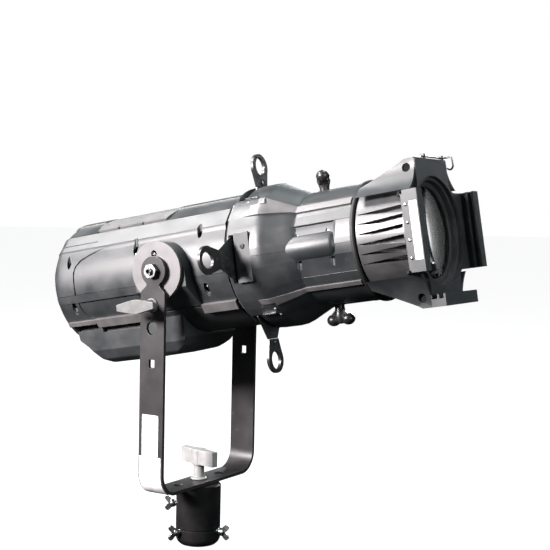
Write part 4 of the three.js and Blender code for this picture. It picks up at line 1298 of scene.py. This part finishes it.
STUDIO = 24  # radius, in metres
floor = bmesh.new()
bmesh.ops.create_circle(floor, cap_ends=True, segments=96, radius=STUDIO)
staged("floor", floor, glow("floor_paint", (1.0, 1.0, 1.0), 0.93, 0.1))
dome = bmesh.new()
bmesh.ops.create_uvsphere(dome, u_segments=64, v_segments=32, radius=STUDIO + 0.5)
staged("backdrop", dome, glow("backdrop_paint", (1.0, 1.0, 1.0), 1.0, 0.0))

softbox("key_light", (-0.43, -0.843, 0.326), 2.2, 0.55, 0.55, 280, (1.0, 0.95, 0.96))
softbox("top_left_light", (-0.65, -0.24, 0.73), 2.4, 0.8, 0.8, 120, (1.0, 0.98, 0.98))
softbox("overhead_light", (0.1, 0.3, 0.95), 2.4, 1.0, 1.0, 35, (0.9, 1.0, 1.0))
softbox("front_light", (0.9, -0.33, 0.28), 2.6, 1.3, 1.3, 55, (0.92, 1.0, 1.0))
softbox("back_light", (-0.14, 0.94, 0.32), 2.6, 1.6, 1.0, 110, (0.95, 0.98, 1.0))

world = bpy.data.worlds.new("studio")
world.use_nodes = True
tree = world.node_tree
sky = tree.nodes.new("ShaderNodeTexCoord")
split = tree.nodes.new("ShaderNodeSeparateXYZ")
tree.links.new(sky.outputs["Generated"], split.inputs["Vector"])
level = tree.nodes.new("ShaderNodeMapRange")
level.inputs["From Min"].default_value, level.inputs["From Max"].default_value = -0.3, 0.8
level.inputs["To Min"].default_value, level.inputs["To Max"].default_value = 0.02, 0.26
tree.links.new(split.outputs["Z"], level.inputs["Value"])
tree.nodes["Background"].inputs["Color"].default_value = (0.86, 1.0, 1.04, 1)
tree.links.new(level.outputs["Result"], tree.nodes["Background"].inputs["Strength"])
scene.world = world
scene.view_settings.view_transform = "Standard"

CAMERA_PLACE = (0.9328, -1.3227, 0.4534)
CAMERA_AZIMUTH, CAMERA_ELEVATION, CAMERA_ROLL = 31.74, 3.09, 1.15
azimuth, elevation, roll = (math.radians(v) for v in (CAMERA_AZIMUTH, CAMERA_ELEVATION, CAMERA_ROLL))
back = Vector((math.sin(azimuth) * math.cos(elevation), -math.cos(azimuth) * math.cos(elevation),
               math.sin(elevation)))
right = Vector((math.cos(azimuth), math.sin(azimuth), 0))
up = back.cross(right)
camera_data = bpy.data.cameras.new("camera")
camera_data.lens = 79.0
camera_data.sensor_width = 36
camera = bpy.data.objects.new("camera", camera_data)
axis_x = right * math.cos(roll) + up * math.sin(roll)
axis_y = -right * math.sin(roll) + up * math.cos(roll)
turn = Matrix((axis_x, axis_y, back)).transposed().to_4x4()
camera.matrix_world = Matrix.Translation(CAMERA_PLACE) @ turn
scene.collection.objects.link(camera)
scene.camera = camera
